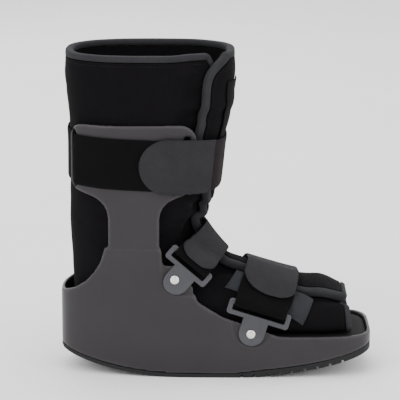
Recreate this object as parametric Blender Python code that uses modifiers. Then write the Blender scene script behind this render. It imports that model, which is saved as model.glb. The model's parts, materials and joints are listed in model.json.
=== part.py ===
"""Short orthopaedic walking boot, in metres, +Z up, toe towards +X.

A moulded shell carries a padded liner between two uprights. Straps close the liner round the leg, the
instep and the forefoot. The near side is -Y, and the liner's far flap overlaps its near flap there.
The origin is on the floor, under the middle of the sole.
"""

from collections import namedtuple
from math import atan2, copysign, cos, hypot, pi, radians, sin, tan

import bmesh
import bpy
import numpy as np
from mathutils import Matrix, Vector

# Overall sizes
SOLE_LENGTH = 0.292
SOLE_HALF_WIDTH = 0.054
BOOT_HEIGHT = 0.304
CALF_HALF_WIDTH = 0.056
GAP = 0.0003

# Shell and sole
SHELL_WALL = 0.0035
SHELL_FLOOR = 0.004
LEDGE_HEIGHT = 0.124
FOOTBED_TOP = 0.2984 * LEDGE_HEIGHT
PLATE_CLEARANCE_SIDE = 0.0008
PLATE_CLEARANCE_BACK = 0.0030
FLAT_REAR = -0.1027 * SOLE_LENGTH
FLAT_FRONT = 0.0411 * SOLE_LENGTH
HEEL_ROCKER_RADIUS = 1.130 * SOLE_LENGTH
TOE_ROCKER_RADIUS = 1.370 * SOLE_LENGTH
OUTSOLE_THICKNESS = 0.0036
LUG_DEPTH = 0.0022
LUG_PITCH = 0.0118
LUG_GROOVE = 0.0030

# Liner
LINER_WALL = 0.007
BINDING_WIDTH = 0.0064
BINDING_PROUD = 0.0005
NEAR_FLAP_DROP = LINER_WALL + 2 * BINDING_PROUD + 2 * GAP

# Straps and patches
STRAP_THICKNESS = 0.0016
STRAP_EASE = 0.0006
TAB_THICKNESS = 0.0018
PATCH_THICKNESS = 0.0012
CALF_STRAP_WIDTH = 0.048
CALF_TAB_WIDTH = 0.052
CALF_STRAP_HEIGHT = 0.6694 * BOOT_HEIGHT
CALF_STRAP_SLOPE = -0.05
SLOT_WIDTH = 0.007
SLOT_HEIGHT = 1.115 * CALF_STRAP_WIDTH
REAR_SLOT_X = -0.4322 * SOLE_LENGTH
FRONT_SLOT_X = -0.0966 * SOLE_LENGTH

# Places along the boot as shares of the sole's length: the middle of the calf strap's side, its two ends
# where it is sewn, its fastening tab's round tip and seam, and how far the cutting outlines reach.
STRAP_MIDDLE = -0.205
STRAP_NEAR_END = -0.070
STRAP_SEWN_END = -0.050
TAB_TIP = -0.243
TAB_SEAM = -0.030
OUTLINE_REACH = 0.52

# Brackets and rivets
BRACKET_THICKNESS = 0.0026
POCKET_DEPTH = 0.0016
ROD_WIDTH = 0.0044
WRAP_RADIUS = 0.0029
LEAVING_HEIGHT = 0.010
ROD_CORNER_RADIUS = 0.68 * ROD_WIDTH
RIVET_HEAD_RADIUS = 0.0042
RIVET_SHANK_RADIUS = 0.0018
RIVET_DOME = 0.0017
RIVET_BACK = 0.0007

LEG_TOP = BOOT_HEIGHT - BINDING_WIDTH
LINER_SOLE = FOOTBED_TOP + GAP
FOOT_HALF_WIDTH = SOLE_HALF_WIDTH - SHELL_WALL

# Cross-sections of the liner's outer surface, from the rim to the toe. Each lies in the upright plane
# through a front and a back point. Heights are shares of the liner's height above the footbed, x and
# widest_x shares of the sole's length. A half width is a share of the calf's half width down to the
# ankle, then of the room inside the shell. widest is where along the chord the section is widest.
# flap and near are the angles, in degrees from the front towards the near side, of the two flaps' edges.
LinerRow = namedtuple(
    "LinerRow",
    "front_x front_height back_x back_height half_width widest front_power back_power flap near",
)
LEG_ROWS = (
    LinerRow(0.0600, 1.000, -0.4780, 1.000, 1.000, 0.50, 2.6, 2.6, 22, 39),
    LinerRow(0.0615, 0.945, -0.4800, 0.945, 0.998, 0.50, 2.6, 2.6, 36, 32),
    LinerRow(0.0500, 0.862, -0.4755, 0.862, 0.988, 0.50, 2.6, 2.6, 38, 24),
    LinerRow(0.0380, 0.780, -0.4700, 0.780, 0.976, 0.50, 2.6, 2.6, 39, 21),
    LinerRow(0.0200, 0.700, -0.4660, 0.700, 0.960, 0.50, 2.6, 2.6, 38, 20),
    LinerRow(0.0030, 0.538, -0.4665, 0.540, 0.925, 0.50, 2.6, 2.6, 25, 7),
    LinerRow(-0.0154, 0.479, -0.4680, 0.450, 0.875, 0.50, 2.5, 2.4, 14, -4),
    LinerRow(-0.0342, 0.433, -0.4650, 0.310, 0.800, 0.50, 2.3, 2.1, 9, -9),
)
FOOT_ROWS = (
    LinerRow(-0.0462, 0.393, -0.4350, 0.045, 0.850, 0.52, 2.2, 2.1, 8, -10),
    LinerRow(0.0290, 0.282, -0.2700, 0.000, 0.865, 0.62, 2.1, 2.5, 9, -9),
    LinerRow(0.0980, 0.246, 0.0070, 0.000, 0.905, 0.62, 2.1, 3.0, 17, -2),
    LinerRow(0.2640, 0.190, 0.2050, 0.000, 0.930, 0.62, 2.1, 3.4, 42, 26),
    LinerRow(0.3430, 0.182, 0.3250, 0.000, 0.930, 0.64, 2.2, 3.6, 46, 29),
    LinerRow(0.4060, 0.145, 0.4170, 0.003, 0.860, 0.62, 2.3, 3.4, 40, 24),
)
INSTEP_ROW = 8
FOREFOOT_ROW = 10
LAST_ROW = len(LEG_ROWS) + len(FOOT_ROWS) - 1
LINER_STEPS = (0, 0.3, 0.6, 1, 1.7, 2.4, 3, 4, 5, 5.7, 6.4, 7, 7.5, 8, 8.5, 9, 9.5, 10, 10.5, 11, 12, 13)

# The two patches' corners: (place, angle in degrees towards the near side)
LEG_STRIP = ((1.3, -4), (1.3, 24), (4.6, 21), (4.6, -2))
FOOT_PATCH = ((9.8, 34), (9.7, 58), (11.45, 97), (11.65, 67))

# Plans of the shell's outer wall at several heights. Lengths in x are shares of the sole's length,
# heights of the ledge's height, and half widths of the sole's half width.
ShellRow = namedtuple("ShellRow", "height rear front half_width widest rear_power front_power")
SOLE_PLAN = ShellRow(0.25, -0.5, 0.5, 1.0, 0.20, 3.2, 4.4)
OUTSOLE_PLAN = SOLE_PLAN._replace(height=-0.02, half_width=0.972)
SHELL_ROWS = (
    OUTSOLE_PLAN,
    SOLE_PLAN,
    SOLE_PLAN._replace(height=0.52),
    ShellRow(0.81, -0.5, 0.5, 0.985, 0.07, 3.0, 4.0),
    ShellRow(0.996, -0.499, 0.36, 1.010, -0.10, 2.8, 3.0),
    ShellRow(1.004, -0.499, 0.36, 0.985, -0.10, 2.8, 3.0),
)
PLATE_LEVELS = (-0.802, -0.385, 0.031, 0.448, 0.865)

# Upper outline of the shell from the side: x as a share of the sole's length, heights and the radii that
# round the corners as shares of the ledge's height. The plates' heights, and their levels above, are
# shares of the calf strap's width over the strap's middle.
Corner = namedtuple("Corner", "x height radius")
LOWER_REAR_EDGE = (
    Corner(-0.520, 0.600, 0),
    Corner(-0.3777, 0.706, 0.4597),
    Corner(-0.3545, 1.000, 0),
)
UPRIGHT_REAR = -0.3425
UPRIGHT_FRONT = -0.1791
PLATE_EDGE = (
    Corner(-0.3425, -0.7204, 0.1613),
    Corner(-0.4589, -0.5040, 0.0806),
    Corner(-0.4589, 0.7750, 0.1048),
    Corner(-0.0610, 0.7750, 0.1290),
    Corner(-0.0610, -0.5135, 0.0645),
    Corner(-0.1791, -0.7932, 0.1532),
)
LOWER_FRONT_EDGE = (
    Corner(-0.1743, 0.997, 0),
    Corner(-0.1690, 0.875, 0.0242),
    Corner(-0.1130, 0.875, 0.0806),
    Corner(-0.0740, 0.700, 0.0484),
    Corner(-0.0580, 0.588, 0.0645),
    Corner(0.0200, 0.475, 0.1613),
    Corner(0.1960, 0.325, 0.0806),
    Corner(0.2350, 0.3161, 0.1581),
    Corner(0.5200, 0.3161, 0),
)

# The brackets in side view. pivot is the rivet, rod_rear and rod_front are the ends of the lower rod's
# centre line, and reach is how far the upper rod lies above it. lug is the middle of the round lug that
# the rivet goes through. x is a share of the sole's length, all else of the ledge's height.
BracketPlace = namedtuple("BracketPlace", "pivot lug rod_rear rod_front reach lug_radius")
REAR_BRACKET = BracketPlace(
    (-0.1318, 0.766), (-0.1267, 0.746), (-0.1541, 0.952), (-0.0432, 0.725), 0.0850, 0.0968
)
FRONT_BRACKET = BracketPlace(
    (0.1106, 0.348), (0.1130, 0.350), (0.0400, 0.530), (0.2210, 0.395), 0.0850, 0.0968
)


def lerp(a, b, share):
    return a + (b - a) * share


def smooth_step(value, low, high):
    """0 below low, 1 above high, and smooth between."""
    share = min(1.0, max(0.0, (value - low) / (high - low)))
    return share * share * (3 - 2 * share)


def along(share):
    return share * SOLE_LENGTH


def sole_bottom(x):
    """Height of the ground side of the sole: flat in the middle, rising on an arc to heel and toe."""
    if x < FLAT_REAR:
        return HEEL_ROCKER_RADIUS - (HEEL_ROCKER_RADIUS**2 - (x - FLAT_REAR) ** 2) ** 0.5
    if x > FLAT_FRONT:
        return TOE_ROCKER_RADIUS - (TOE_ROCKER_RADIUS**2 - (x - FLAT_FRONT) ** 2) ** 0.5
    return 0.0


def outsole_top(x):
    """The sole's upper face, where the lugs of the front half add their depth."""
    return sole_bottom(x) + OUTSOLE_THICKNESS + LUG_DEPTH * smooth_step(x, FLAT_FRONT, 4 * FLAT_FRONT)


def collection(name):
    made = bpy.data.collections.new(name)
    bpy.context.scene.collection.children.link(made)
    return made


def material(name, colour, roughness, metallic=0.0):
    made = bpy.data.materials.new(name)
    made.use_nodes = True
    shader = made.node_tree.nodes["Principled BSDF"]
    shader.inputs["Base Color"].default_value = (*colour, 1)
    shader.inputs["Roughness"].default_value = roughness
    shader.inputs["Metallic"].default_value = metallic
    made.diffuse_color = (*colour, 1)
    return made


def link(mesh, name, group, finish=None):
    """An object for a mesh or curve, in a collection and with its material."""
    made = bpy.data.objects.new(name, mesh)
    group.objects.link(made)
    if finish:
        mesh.materials.append(finish)
    return made


def mesh_object(name, vertices, faces, group, finish=None, smooth=True):
    mesh = bpy.data.meshes.new(name)
    mesh.from_pydata([tuple(v) for v in vertices], [], faces)
    mesh.update()
    if smooth:
        mesh.shade_smooth()
    return link(mesh, name, group, finish)


def add_boolean(target, cutter, operation):
    change = target.modifiers.new(f"{operation.title()} {cutter.name}", "BOOLEAN")
    change.operation = operation
    change.object = cutter
    return change


def as_helper(guide):
    guide.hide_render = True
    guide.display_type = "WIRE"
    return guide


def loft(name, rings, group, finish=None):
    """A closed solid through rings of equally many points."""
    count = len(rings[0])
    vertices = [point for ring in rings for point in ring]
    faces = []
    for level in range(len(rings) - 1):
        for i in range(count):
            j = (i + 1) % count
            low, high = level * count, (level + 1) * count
            faces.append((low + i, low + j, high + j, high + i))
    faces.append(tuple(reversed(range(count))))
    faces.append(tuple(range((len(rings) - 1) * count, len(rings) * count)))
    made = mesh_object(name, vertices, faces, group, finish)
    outward(made.data)
    return made


def outward(mesh):
    """Turns all faces of a closed mesh to point out."""
    edit = bmesh.new()
    edit.from_mesh(mesh)
    bmesh.ops.recalc_face_normals(edit, faces=edit.faces)
    if edit.calc_volume(signed=True) < 0:
        bmesh.ops.reverse_faces(edit, faces=edit.faces)
    edit.to_mesh(mesh)
    edit.free()


def rounded(corners, steps=5):
    """Points of an open line through (x, z, radius) corners, each rounded by an arc."""
    points = []
    for index, (x, z, radius) in enumerate(corners):
        corner = Vector((x, z))
        if not radius or index in (0, len(corners) - 1):
            points.append((x, z))
            continue
        before = (Vector(corners[index - 1][:2]) - corner).normalized()
        after = (Vector(corners[index + 1][:2]) - corner).normalized()
        half = before.angle(after) / 2
        centre = corner + (before + after).normalized() * (radius / sin(half))
        start = corner + before * (radius / tan(half)) - centre
        sweep = start.angle_signed(corner + after * (radius / tan(half)) - centre)
        for step in range(steps + 1):
            angle = -sweep * step / steps
            turned = Matrix.Rotation(angle, 2) @ start
            points.append(tuple(centre + turned))
    return points


def side_prism(name, outline, low_y, high_y, group, finish=None):
    """A solid with its (x, z) outline seen from the side, from low_y to high_y."""
    curve = bpy.data.curves.new(name, "CURVE")
    curve.dimensions = "2D"
    curve.fill_mode = "BOTH"
    curve.extrude = (high_y - low_y) / 2
    spline = curve.splines.new("POLY")
    spline.points.add(len(outline) - 1)
    for point, (x, z) in zip(spline.points, outline):
        point.co = (x, z, 0, 1)
    spline.use_cyclic_u = True
    guide = link(curve, name + "_outline", group)
    guide.rotation_euler = (pi / 2, 0, 0)
    guide.location = (0, (low_y + high_y) / 2, 0)
    return meshed(guide, name, group, finish)


def meshed(guide, name, group, finish=None):
    """The mesh object that a curve object draws, closed and applied, in the curve's stead."""
    bpy.context.view_layer.update()
    graph = bpy.context.evaluated_depsgraph_get()
    mesh = bpy.data.meshes.new_from_object(guide.evaluated_get(graph))
    mesh.name = name
    mesh.transform(guide.matrix_world)
    edit = bmesh.new()
    edit.from_mesh(mesh)
    bmesh.ops.remove_doubles(edit, verts=edit.verts, dist=1e-6)
    edit.to_mesh(mesh)
    edit.free()
    outward(mesh)
    bpy.data.objects.remove(guide, do_unlink=True)
    mesh.materials.clear()
    return link(mesh, name, group, finish)


# Liner surface


def interpolated(rows, place):
    """The values of a table at a place between its rows, on a smooth curve through them."""
    place = min(max(place, 0.0), len(rows) - 1.0)
    index = min(int(place), len(rows) - 2)
    share = place - index
    p0, p1, p2, p3 = (
        np.array(rows[min(max(index + k, 0), len(rows) - 1)], float) for k in (-1, 0, 1, 2)
    )
    values = (
        p1
        + share * (p2 - p0) / 2
        + share**2 * (p0 - 2.5 * p1 + 2 * p2 - p3 / 2)
        + share**3 * (1.5 * (p1 - p2) + (p3 - p0) / 2)
    )
    return values.tolist()


def liner_table():
    """The liner's rows in metres, in one list from the rim to the toe."""
    table = []
    for rows, width in ((LEG_ROWS, CALF_HALF_WIDTH), (FOOT_ROWS, FOOT_HALF_WIDTH)):
        for row in rows:
            lengths = (
                along(row.front_x),
                LINER_SOLE + row.front_height * (LEG_TOP - LINER_SOLE),
                along(row.back_x),
                LINER_SOLE + row.back_height * (LEG_TOP - LINER_SOLE),
                row.half_width * width,
            )
            table.append((*lengths, *row[5:]))
    return table


LINER_TABLE = liner_table()


def liner_point(place, angle):
    """A point of the liner's outer surface, and its section's centre. The angle is 0 at the front,
    a quarter turn on the far side and half a turn at the back."""
    front_x, front_z, back_x, back_z, half_width, widest, front_power, back_power, _, _ = interpolated(
        LINER_TABLE, place
    )
    back_z = max(back_z, LINER_SOLE)
    chord = hypot(back_x - front_x, back_z - front_z)
    towards_back = Vector(((back_x - front_x) / chord, 0, (back_z - front_z) / chord))
    centre = Vector((front_x, 0, front_z)) + towards_back * chord * widest
    ahead = cos(angle) > 0
    reach = chord * (widest if ahead else 1 - widest)
    power = front_power if ahead else back_power
    radius = (abs(cos(angle) / reach) ** power + abs(sin(angle) / half_width) ** power) ** (-1 / power)
    return centre + radius * (Vector((0, 1, 0)) * sin(angle) - towards_back * cos(angle)), centre


def liner_surface(place, angle, offset=0.0):
    """A point at a distance outside the liner's outer surface."""
    point, centre = liner_point(place, angle)
    step = 1e-3
    low, high = max(place - step, 0), min(place + step, LAST_ROW)
    across = liner_point(place, angle + step)[0] - liner_point(place, angle - step)[0]
    down = liner_point(high, angle)[0] - liner_point(low, angle)[0]
    normal = across.cross(down).normalized()
    if normal.dot(point - centre) < 0:
        normal.negate()
    return point + normal * offset, normal


def flap_angles(place):
    """Angles of the far flap's edge and the near flap's edge, towards the near side."""
    values = interpolated(LINER_TABLE, place)
    return radians(values[8]), radians(values[9])


def near_drop(place, angle):
    """How far the near flap lies inside the surface, so that the far flap passes over it."""
    edge = max(flap_angles(place))
    return NEAR_FLAP_DROP * (1 - smooth_step(2 * pi - angle, edge + radians(12), edge + radians(32)))


def liner_angles(place):
    """Angles of the liner's columns, from the far flap's edge round the back to the near flap's."""
    flap, near = flap_angles(place)
    turning = 2 * pi - max(flap, near) - radians(34)
    wide = [lerp(-flap, turning, i / 24) for i in range(24)]
    fine = [lerp(turning, 2 * pi - near, i / 8) for i in range(9)]
    return wide + fine


def wall_point(place, angle, depth=0.0):
    """A point of the liner's wall, a depth below its outer face, with its normal."""
    drop = near_drop(place, angle) if angle > pi else 0.0
    return liner_surface(place, angle, -drop - depth)


def sheet(name, grid, thickness, group, finish):
    """A sheet of even thickness, whose inner face is a grid of points."""
    rows, columns = len(grid), len(grid[0])
    vertices = [point for row in grid for point in row]
    faces = [
        (r * columns + c, r * columns + c + 1, (r + 1) * columns + c + 1, (r + 1) * columns + c)
        for r in range(rows - 1)
        for c in range(columns - 1)
    ]
    made = mesh_object(name, vertices, faces, group, finish)
    wall = made.modifiers.new("Thickness", "SOLIDIFY")
    wall.thickness = thickness
    wall.offset = 1
    return made


def double_wall(name, outer, inner, group, finish):
    """A closed wall between two grids of points, joined round their border."""
    rows, columns = len(outer), len(outer[0])
    base = rows * columns
    vertices = [point for grid in (outer, inner) for row in grid for point in row]
    faces = []
    for r in range(rows - 1):
        for c in range(columns - 1):
            first, below = r * columns + c, (r + 1) * columns + c
            faces.append((first, first + 1, below + 1, below))
            faces.append((base + first, base + below, base + below + 1, base + first + 1))
    border = list(range(columns - 1))
    border += [r * columns + columns - 1 for r in range(rows - 1)]
    border += [(rows - 1) * columns + c for c in range(columns - 1, 0, -1)]
    border += [r * columns for r in range(rows - 1, 0, -1)]
    for here, after in zip(border, border[1:] + border[:1]):
        faces.append((here, base + here, base + after, after))
    made = mesh_object(name, vertices, faces, group, finish)
    outward(made.data)
    return made


def make_liner(group, finish):
    outer, inner = (
        [[wall_point(place, angle, depth)[0] for angle in liner_angles(place)] for place in LINER_STEPS]
        for depth in (0.0, LINER_WALL)
    )
    return double_wall("liner", outer, inner, group, finish)


def binding_ring(middle, normal, edge):
    """The binding's section at one point of the wall's edge: a strip with a rounded outer side."""
    half = LINER_WALL / 2 + BINDING_PROUD
    profile = (
        (3 * GAP, half),
        (0.60 * BINDING_WIDTH, half),
        (BINDING_WIDTH, 0.45 * half),
        (BINDING_WIDTH, -0.45 * half),
        (0.60 * BINDING_WIDTH, -half),
        (3 * GAP, -half),
    )
    return [middle + edge * out + normal * up for out, up in profile]


def edge_path():
    """(place, angle, kind of edge) along the liner's whole edge, from the near flap at the toe end round
    the toe, up the far flap's edge, round the rim and down the near flap's edge."""
    toe, rim = LINER_STEPS[-1], LINER_STEPS[0]
    path = [(LINER_STEPS[-2], 2 * pi - flap_angles(LINER_STEPS[-2])[1], "near")]
    path += [(toe, angle, "toe") for angle in reversed(liner_angles(toe))]
    path += [(step, -flap_angles(step)[0], "flap") for step in reversed(LINER_STEPS)]
    path += [(rim, angle, "rim") for angle in liner_angles(rim)]
    path += [(step, 2 * pi - flap_angles(step)[1], "near") for step in (0.3, 0.6, 1.0)]
    return path


def make_binding(group, finish):
    path = edge_path()
    frames = []
    for place, angle, _ in path:
        middle, normal = wall_point(place, angle, LINER_WALL / 2)
        frames.append((middle, normal))
    rings = []
    for index, (middle, normal) in enumerate(frames):
        kind = path[index][2]
        outs = []
        for other in (index - 1, index + 1):
            if not 0 <= other < len(frames):
                continue
            run = frames[other][0] - middle
            if other < index:
                run.negate()
            if run.length > 1e-5:
                outs.append((normal.cross(run).normalized(), path[other][2] if other > index else kind))
        edge = sum((out for out, _ in outs), Vector()).normalized()
        corner = len(outs) == 2 and outs[0][0].angle(outs[1][0]) > radians(35)
        if index and (frames[index - 1][0] - middle).length <= 1e-5:
            continue
        if corner or len(outs) == 1 and 0 < index < len(frames) - 1:
            first, last = corner_edges(frames, index)
            for share in (0.0, 0.33, 0.67, 1.0):
                rings.append(binding_ring(middle, normal, first.slerp(last, share)))
        else:
            rings.append(binding_ring(middle, normal, edge))
    return loft("edge_binding", rings, group, finish)


def corner_edges(frames, index):
    """The outward directions just before and just after a corner of the edge."""
    middle, normal = frames[index]
    before, after = index - 1, index + 1
    while after < len(frames) and (frames[after][0] - middle).length <= 1e-5:
        after += 1
    first = normal.cross(middle - frames[before][0]).normalized()
    last = normal.cross(frames[after][0] - middle).normalized()
    return first, last


# Straps


def at_bracket(shares):
    return along(shares[0]), shares[1] * LEDGE_HEIGHT


def bracket_frame(place):
    """The lower rod's rear end, its direction, the direction up to the upper rod and its length."""
    rear = Vector(at_bracket(place.rod_rear))
    front = Vector(at_bracket(place.rod_front))
    run = (front - rear).normalized()
    return rear, run, Vector((-run.y, run.x)), (front - rear).length


def shell_half_width(x):
    """The sole wall's outer half width at x."""
    plan = SOLE_PLAN
    widest = along(plan.widest)
    if x < widest:
        reach, power = widest - along(plan.rear), plan.rear_power
    else:
        reach, power = along(plan.front) - widest, plan.front_power
    return SOLE_HALF_WIDTH * (1 - min(1, abs(x - widest) / reach) ** power) ** (1 / power)


def bracket_depth(place):
    """Distance from the boot's middle plane to the bracket's back face."""
    return shell_half_width(along(place.pivot[0])) - POCKET_DEPTH + GAP


def rod_reach(place):
    return place.reach * LEDGE_HEIGHT


def lug_radius(place):
    return place.lug_radius * LEDGE_HEIGHT


def rod_centre(place, share):
    """A point of the upper rod's centre line, in side view, at a share of the strap's width."""
    rear, run, up, length = bracket_frame(place)
    inset = ROD_WIDTH / 2 + 2 * GAP
    return rear + run * lerp(inset, length - inset, share) + up * rod_reach(place)


def height_over_rod(place, point):
    """How far a point lies above the upper rod, along the bracket's frame."""
    rear, _, up, _ = bracket_frame(place)
    return (Vector((point.x, point.z)) - rear).dot(up) - rod_reach(place)


def wrap_points(place, share, side, lift, turns):
    """Points of a strap's turn round a bracket's upper rod, from above it round its outer side to the
    inside. side is -1 on the near side and 1 on the far side."""
    centre = rod_centre(place, share)
    up = bracket_frame(place)[2]
    middle = bracket_depth(place) + BRACKET_THICKNESS / 2
    points = []
    for turn in turns:
        spot = centre - up * sin(radians(turn)) * (WRAP_RADIUS + lift)
        out = cos(radians(turn)) * (WRAP_RADIUS + lift)
        points.append(Vector((spot.x, side * (middle + out), spot.y)))
    return points


def leaving_angle(place, row, side):
    """The angle at which a strap leaves the liner for the bracket, a set height above its rod."""
    low, high = 0.0, pi / 2
    for _ in range(30):
        middle = (low + high) / 2
        if height_over_rod(place, liner_point(row, side * middle)[0]) > LEAVING_HEIGHT:
            low = middle
        else:
            high = middle
    return low


def strap_run(place, row, share, side, first, lift_of, count=7):
    """Points from the top of the foot, or a share of the way, down to where the strap leaves it."""
    leave = leaving_angle(place, row, side)
    points = []
    for i in range(count):
        part = lerp(first, 1.0, i / (count - 1))
        offset = PATCH_THICKNESS + 2 * GAP + STRAP_EASE * (1 + part) + lift_of(part)
        points.append(liner_surface(row, side * part * leave, offset)[0])
    return points


def full_turn(place, share, side):
    """A strap's end: round the upper rod and a little way back up inside."""
    points = wrap_points(place, share, side, 0.0, (-60, -20, 20, 60, 100, 140, 180))
    inside = points[-1]
    up = bracket_frame(place)[2]
    tail = Vector((inside.x + up.x * WRAP_RADIUS, inside.y, inside.z + up.y * WRAP_RADIUS))
    return points + [tail]


def calf_row(height):
    """The place of the liner's row at a height of the leg."""
    low, high = 0.0, 5.0
    for _ in range(40):
        middle = (low + high) / 2
        if interpolated(LINER_TABLE, middle)[1] > height:
            low = middle
        else:
            high = middle
    return low


def angle_at(place, x):
    """The angle, in the first half turn, at which a leg section passes x."""
    low, high = 0.0, pi
    for _ in range(40):
        middle = (low + high) / 2
        if liner_point(place, middle)[0].x > x:
            low = middle
        else:
            high = middle
    return low


def plate_clearance(angle):
    """The calf plates' distance from the liner, wider at the back where the strap passes between."""
    turn = abs((angle + pi) % (2 * pi) - pi)
    return lerp(PLATE_CLEARANCE_SIDE, PLATE_CLEARANCE_BACK, smooth_step(turn, radians(90), radians(130)))


def over_plate(angle):
    """A strap's distance from the liner where it lies on a calf plate."""
    return plate_clearance(angle) + SHELL_WALL + GAP + STRAP_EASE


def strap_height(x):
    """The calf strap's middle at x, as the strap slopes."""
    return CALF_STRAP_HEIGHT + CALF_STRAP_SLOPE * (x - along(STRAP_MIDDLE))


def strap_place(x, fraction, width):
    """The liner's place at a share of the calf strap's width, at x."""
    return calf_row(strap_height(x) + width * (0.5 - fraction))


# Shell


def plan_values(row):
    """A plan's rear, front, half width and widest place in metres, then its powers."""
    half_width = row.half_width * SOLE_HALF_WIDTH
    return (*map(along, (row.rear, row.front)), half_width, along(row.widest), *row[5:])


def plan_ring(values, height, inset, count=48):
    """A plan of the shell as a ring of points: two half superellipses that meet at the widest place."""
    rear, front, half_width, widest, rear_power, front_power = values
    ring = []
    for i in range(count):
        angle = 2 * pi * (i + 0.5) / count
        ahead = cos(angle) > 0
        reach = (front - widest if ahead else widest - rear) - inset
        power = front_power if ahead else rear_power
        x = copysign(abs(cos(angle)) ** (2 / power), cos(angle)) * reach
        y = copysign(abs(sin(angle)) ** (2 / power), sin(angle)) * (half_width - inset)
        ring.append(Vector((widest + x, y, height)))
    return ring


def plate_ring(height, inset, count=48):
    """The shell's plan at a height of the calf plates, which follow the liner."""
    row = calf_row(height)
    angles = [2 * pi * (i + 0.5) / count for i in range(count)]
    return [liner_surface(row, a, plate_clearance(a) + SHELL_WALL - inset)[0] for a in angles]


def shell_rings(inset):
    rings = []
    for row in SHELL_ROWS:
        rings.append(plan_ring(plan_values(row), row.height * LEDGE_HEIGHT, inset))
    for height in map(plate_height, PLATE_LEVELS):
        ring = plate_ring(height, inset)
        rings.append([Vector((p.x, p.y, height)) for p in ring])
    return rings


def sole_line(rise, count=34):
    """Points along the sole's upper face, raised, from the toe back to the heel."""
    shares = [lerp(OUTLINE_REACH, -OUTLINE_REACH, i / count) for i in range(count + 1)]
    return [(along(share), outsole_top(along(share)) + rise) for share in shares]


def plate_height(share):
    """A height on the calf plates, from a share of the calf strap's width over its middle."""
    return CALF_STRAP_HEIGHT + share * CALF_STRAP_WIDTH


def shell_outline():
    """The shell's outline from the side, as (x, z) points."""
    edge = [(along(c.x), c.height * LEDGE_HEIGHT, c.radius * LEDGE_HEIGHT) for c in LOWER_REAR_EDGE]
    foot = 1.006 * LEDGE_HEIGHT
    edge.append((along(UPRIGHT_REAR), foot, 0))
    edge += [(along(c.x), plate_height(c.height), c.radius * LEDGE_HEIGHT) for c in PLATE_EDGE]
    edge.append((along(UPRIGHT_FRONT), foot, 0))
    edge += [(along(c.x), c.height * LEDGE_HEIGHT, c.radius * LEDGE_HEIGHT) for c in LOWER_FRONT_EDGE]
    return rounded(edge) + sole_line(GAP)


def slot_cutter(name, x, side, group):
    """A cutter for one of the slots, square to the plate there."""
    place = calf_row(CALF_STRAP_HEIGHT)
    angle = side * angle_at(place, x)
    point, normal = liner_surface(place, angle, plate_clearance(angle) + SHELL_WALL / 2)
    bpy.ops.mesh.primitive_cube_add(size=1)
    made = bpy.context.object
    made.name = name
    made.scale = (SLOT_WIDTH, 6 * SHELL_WALL, SLOT_HEIGHT)
    made.rotation_euler = (0, 0, atan2(normal.y, normal.x) - pi / 2)
    made.location = (point.x, point.y, strap_height(x) + 3 * GAP)
    bpy.ops.object.transform_apply(location=True, rotation=True, scale=True)
    for owner in list(made.users_collection):
        owner.objects.unlink(made)
    group.objects.link(made)
    return as_helper(made)


def round_cutter(name, centre, radius, low_y, high_y, group, sides=24):
    """A round cutter across Y."""
    outline = [
        (centre[0] + radius * cos(2 * pi * i / sides), centre[1] + radius * sin(2 * pi * i / sides))
        for i in range(sides)
    ]
    return as_helper(side_prism(name, outline, low_y, high_y, group))


def make_shell(group, cutters, finish):
    shell = loft("shell", shell_rings(0.0), group, finish)
    reach = 2 * SOLE_HALF_WIDTH
    outline = as_helper(side_prism("shell_outline", shell_outline(), -reach, reach, cutters))
    cavity = as_helper(loft("shell_cavity", cavity_rings(), cutters))
    floor_line = sole_line(SHELL_FLOOR + GAP)
    room = [(along(OUTLINE_REACH), BOOT_HEIGHT), *floor_line, (along(-OUTLINE_REACH), BOOT_HEIGHT)]
    above_floor = as_helper(side_prism("above_floor", room, -reach, reach, cutters))
    add_boolean(cavity, above_floor, "INTERSECT")
    add_boolean(shell, cavity, "DIFFERENCE")
    for side, word in ((-1, "near"), (1, "far")):
        for where, x in (("rear", REAR_SLOT_X), ("front", FRONT_SLOT_X)):
            add_boolean(shell, slot_cutter(f"slot_{where}_{word}", x, side, cutters), "DIFFERENCE")
        for where, place in (("rear", REAR_BRACKET), ("front", FRONT_BRACKET)):
            depth = bracket_depth(place) - GAP
            low, high = sorted((side * depth, side * reach))
            recess = pocket_outline(where, place)
            pocket = as_helper(side_prism(f"pocket_{where}_{word}", recess, low, high, cutters))
            add_boolean(shell, pocket, "DIFFERENCE")
            low, high = sorted((0.0, side * reach))
            centre = at_bracket(place.pivot)
            hole = round_cutter(
                f"rivet_hole_{where}_{word}", centre, RIVET_SHANK_RADIUS + GAP, low, high, cutters, 12
            )
            add_boolean(shell, hole, "DIFFERENCE")
    add_boolean(shell, outline, "INTERSECT")
    return shell


def cavity_rings():
    """The inside of the shell, carried past the top so that the shell is open there."""
    rings = shell_rings(SHELL_WALL)
    top = [point + Vector((0, 0, 6 * SHELL_WALL)) for point in rings[-1]]
    return rings + [top]


def pocket_outline(where, place):
    """The recess in the shell's wall in which a bracket turns."""
    if where == "front":
        x, z = at_bracket(place.pivot)
        radius = 1.55 * lug_radius(place)
        return [
            (x + radius * (0.11 + cos(2 * pi * i / 28)), z + radius * (0.32 + sin(2 * pi * i / 28)))
            for i in range(28)
        ]
    left, floor = at_bracket(place.lug)[0] - 1.083 * lug_radius(place), 0.643 * LEDGE_HEIGHT
    corners = (
        (0.0, LEDGE_HEIGHT, 0),
        (left, LEDGE_HEIGHT, 0),
        (left, floor, 1.12 * lug_radius(place)),
        (0.0, floor, 0),
    )
    return rounded(corners)


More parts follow.
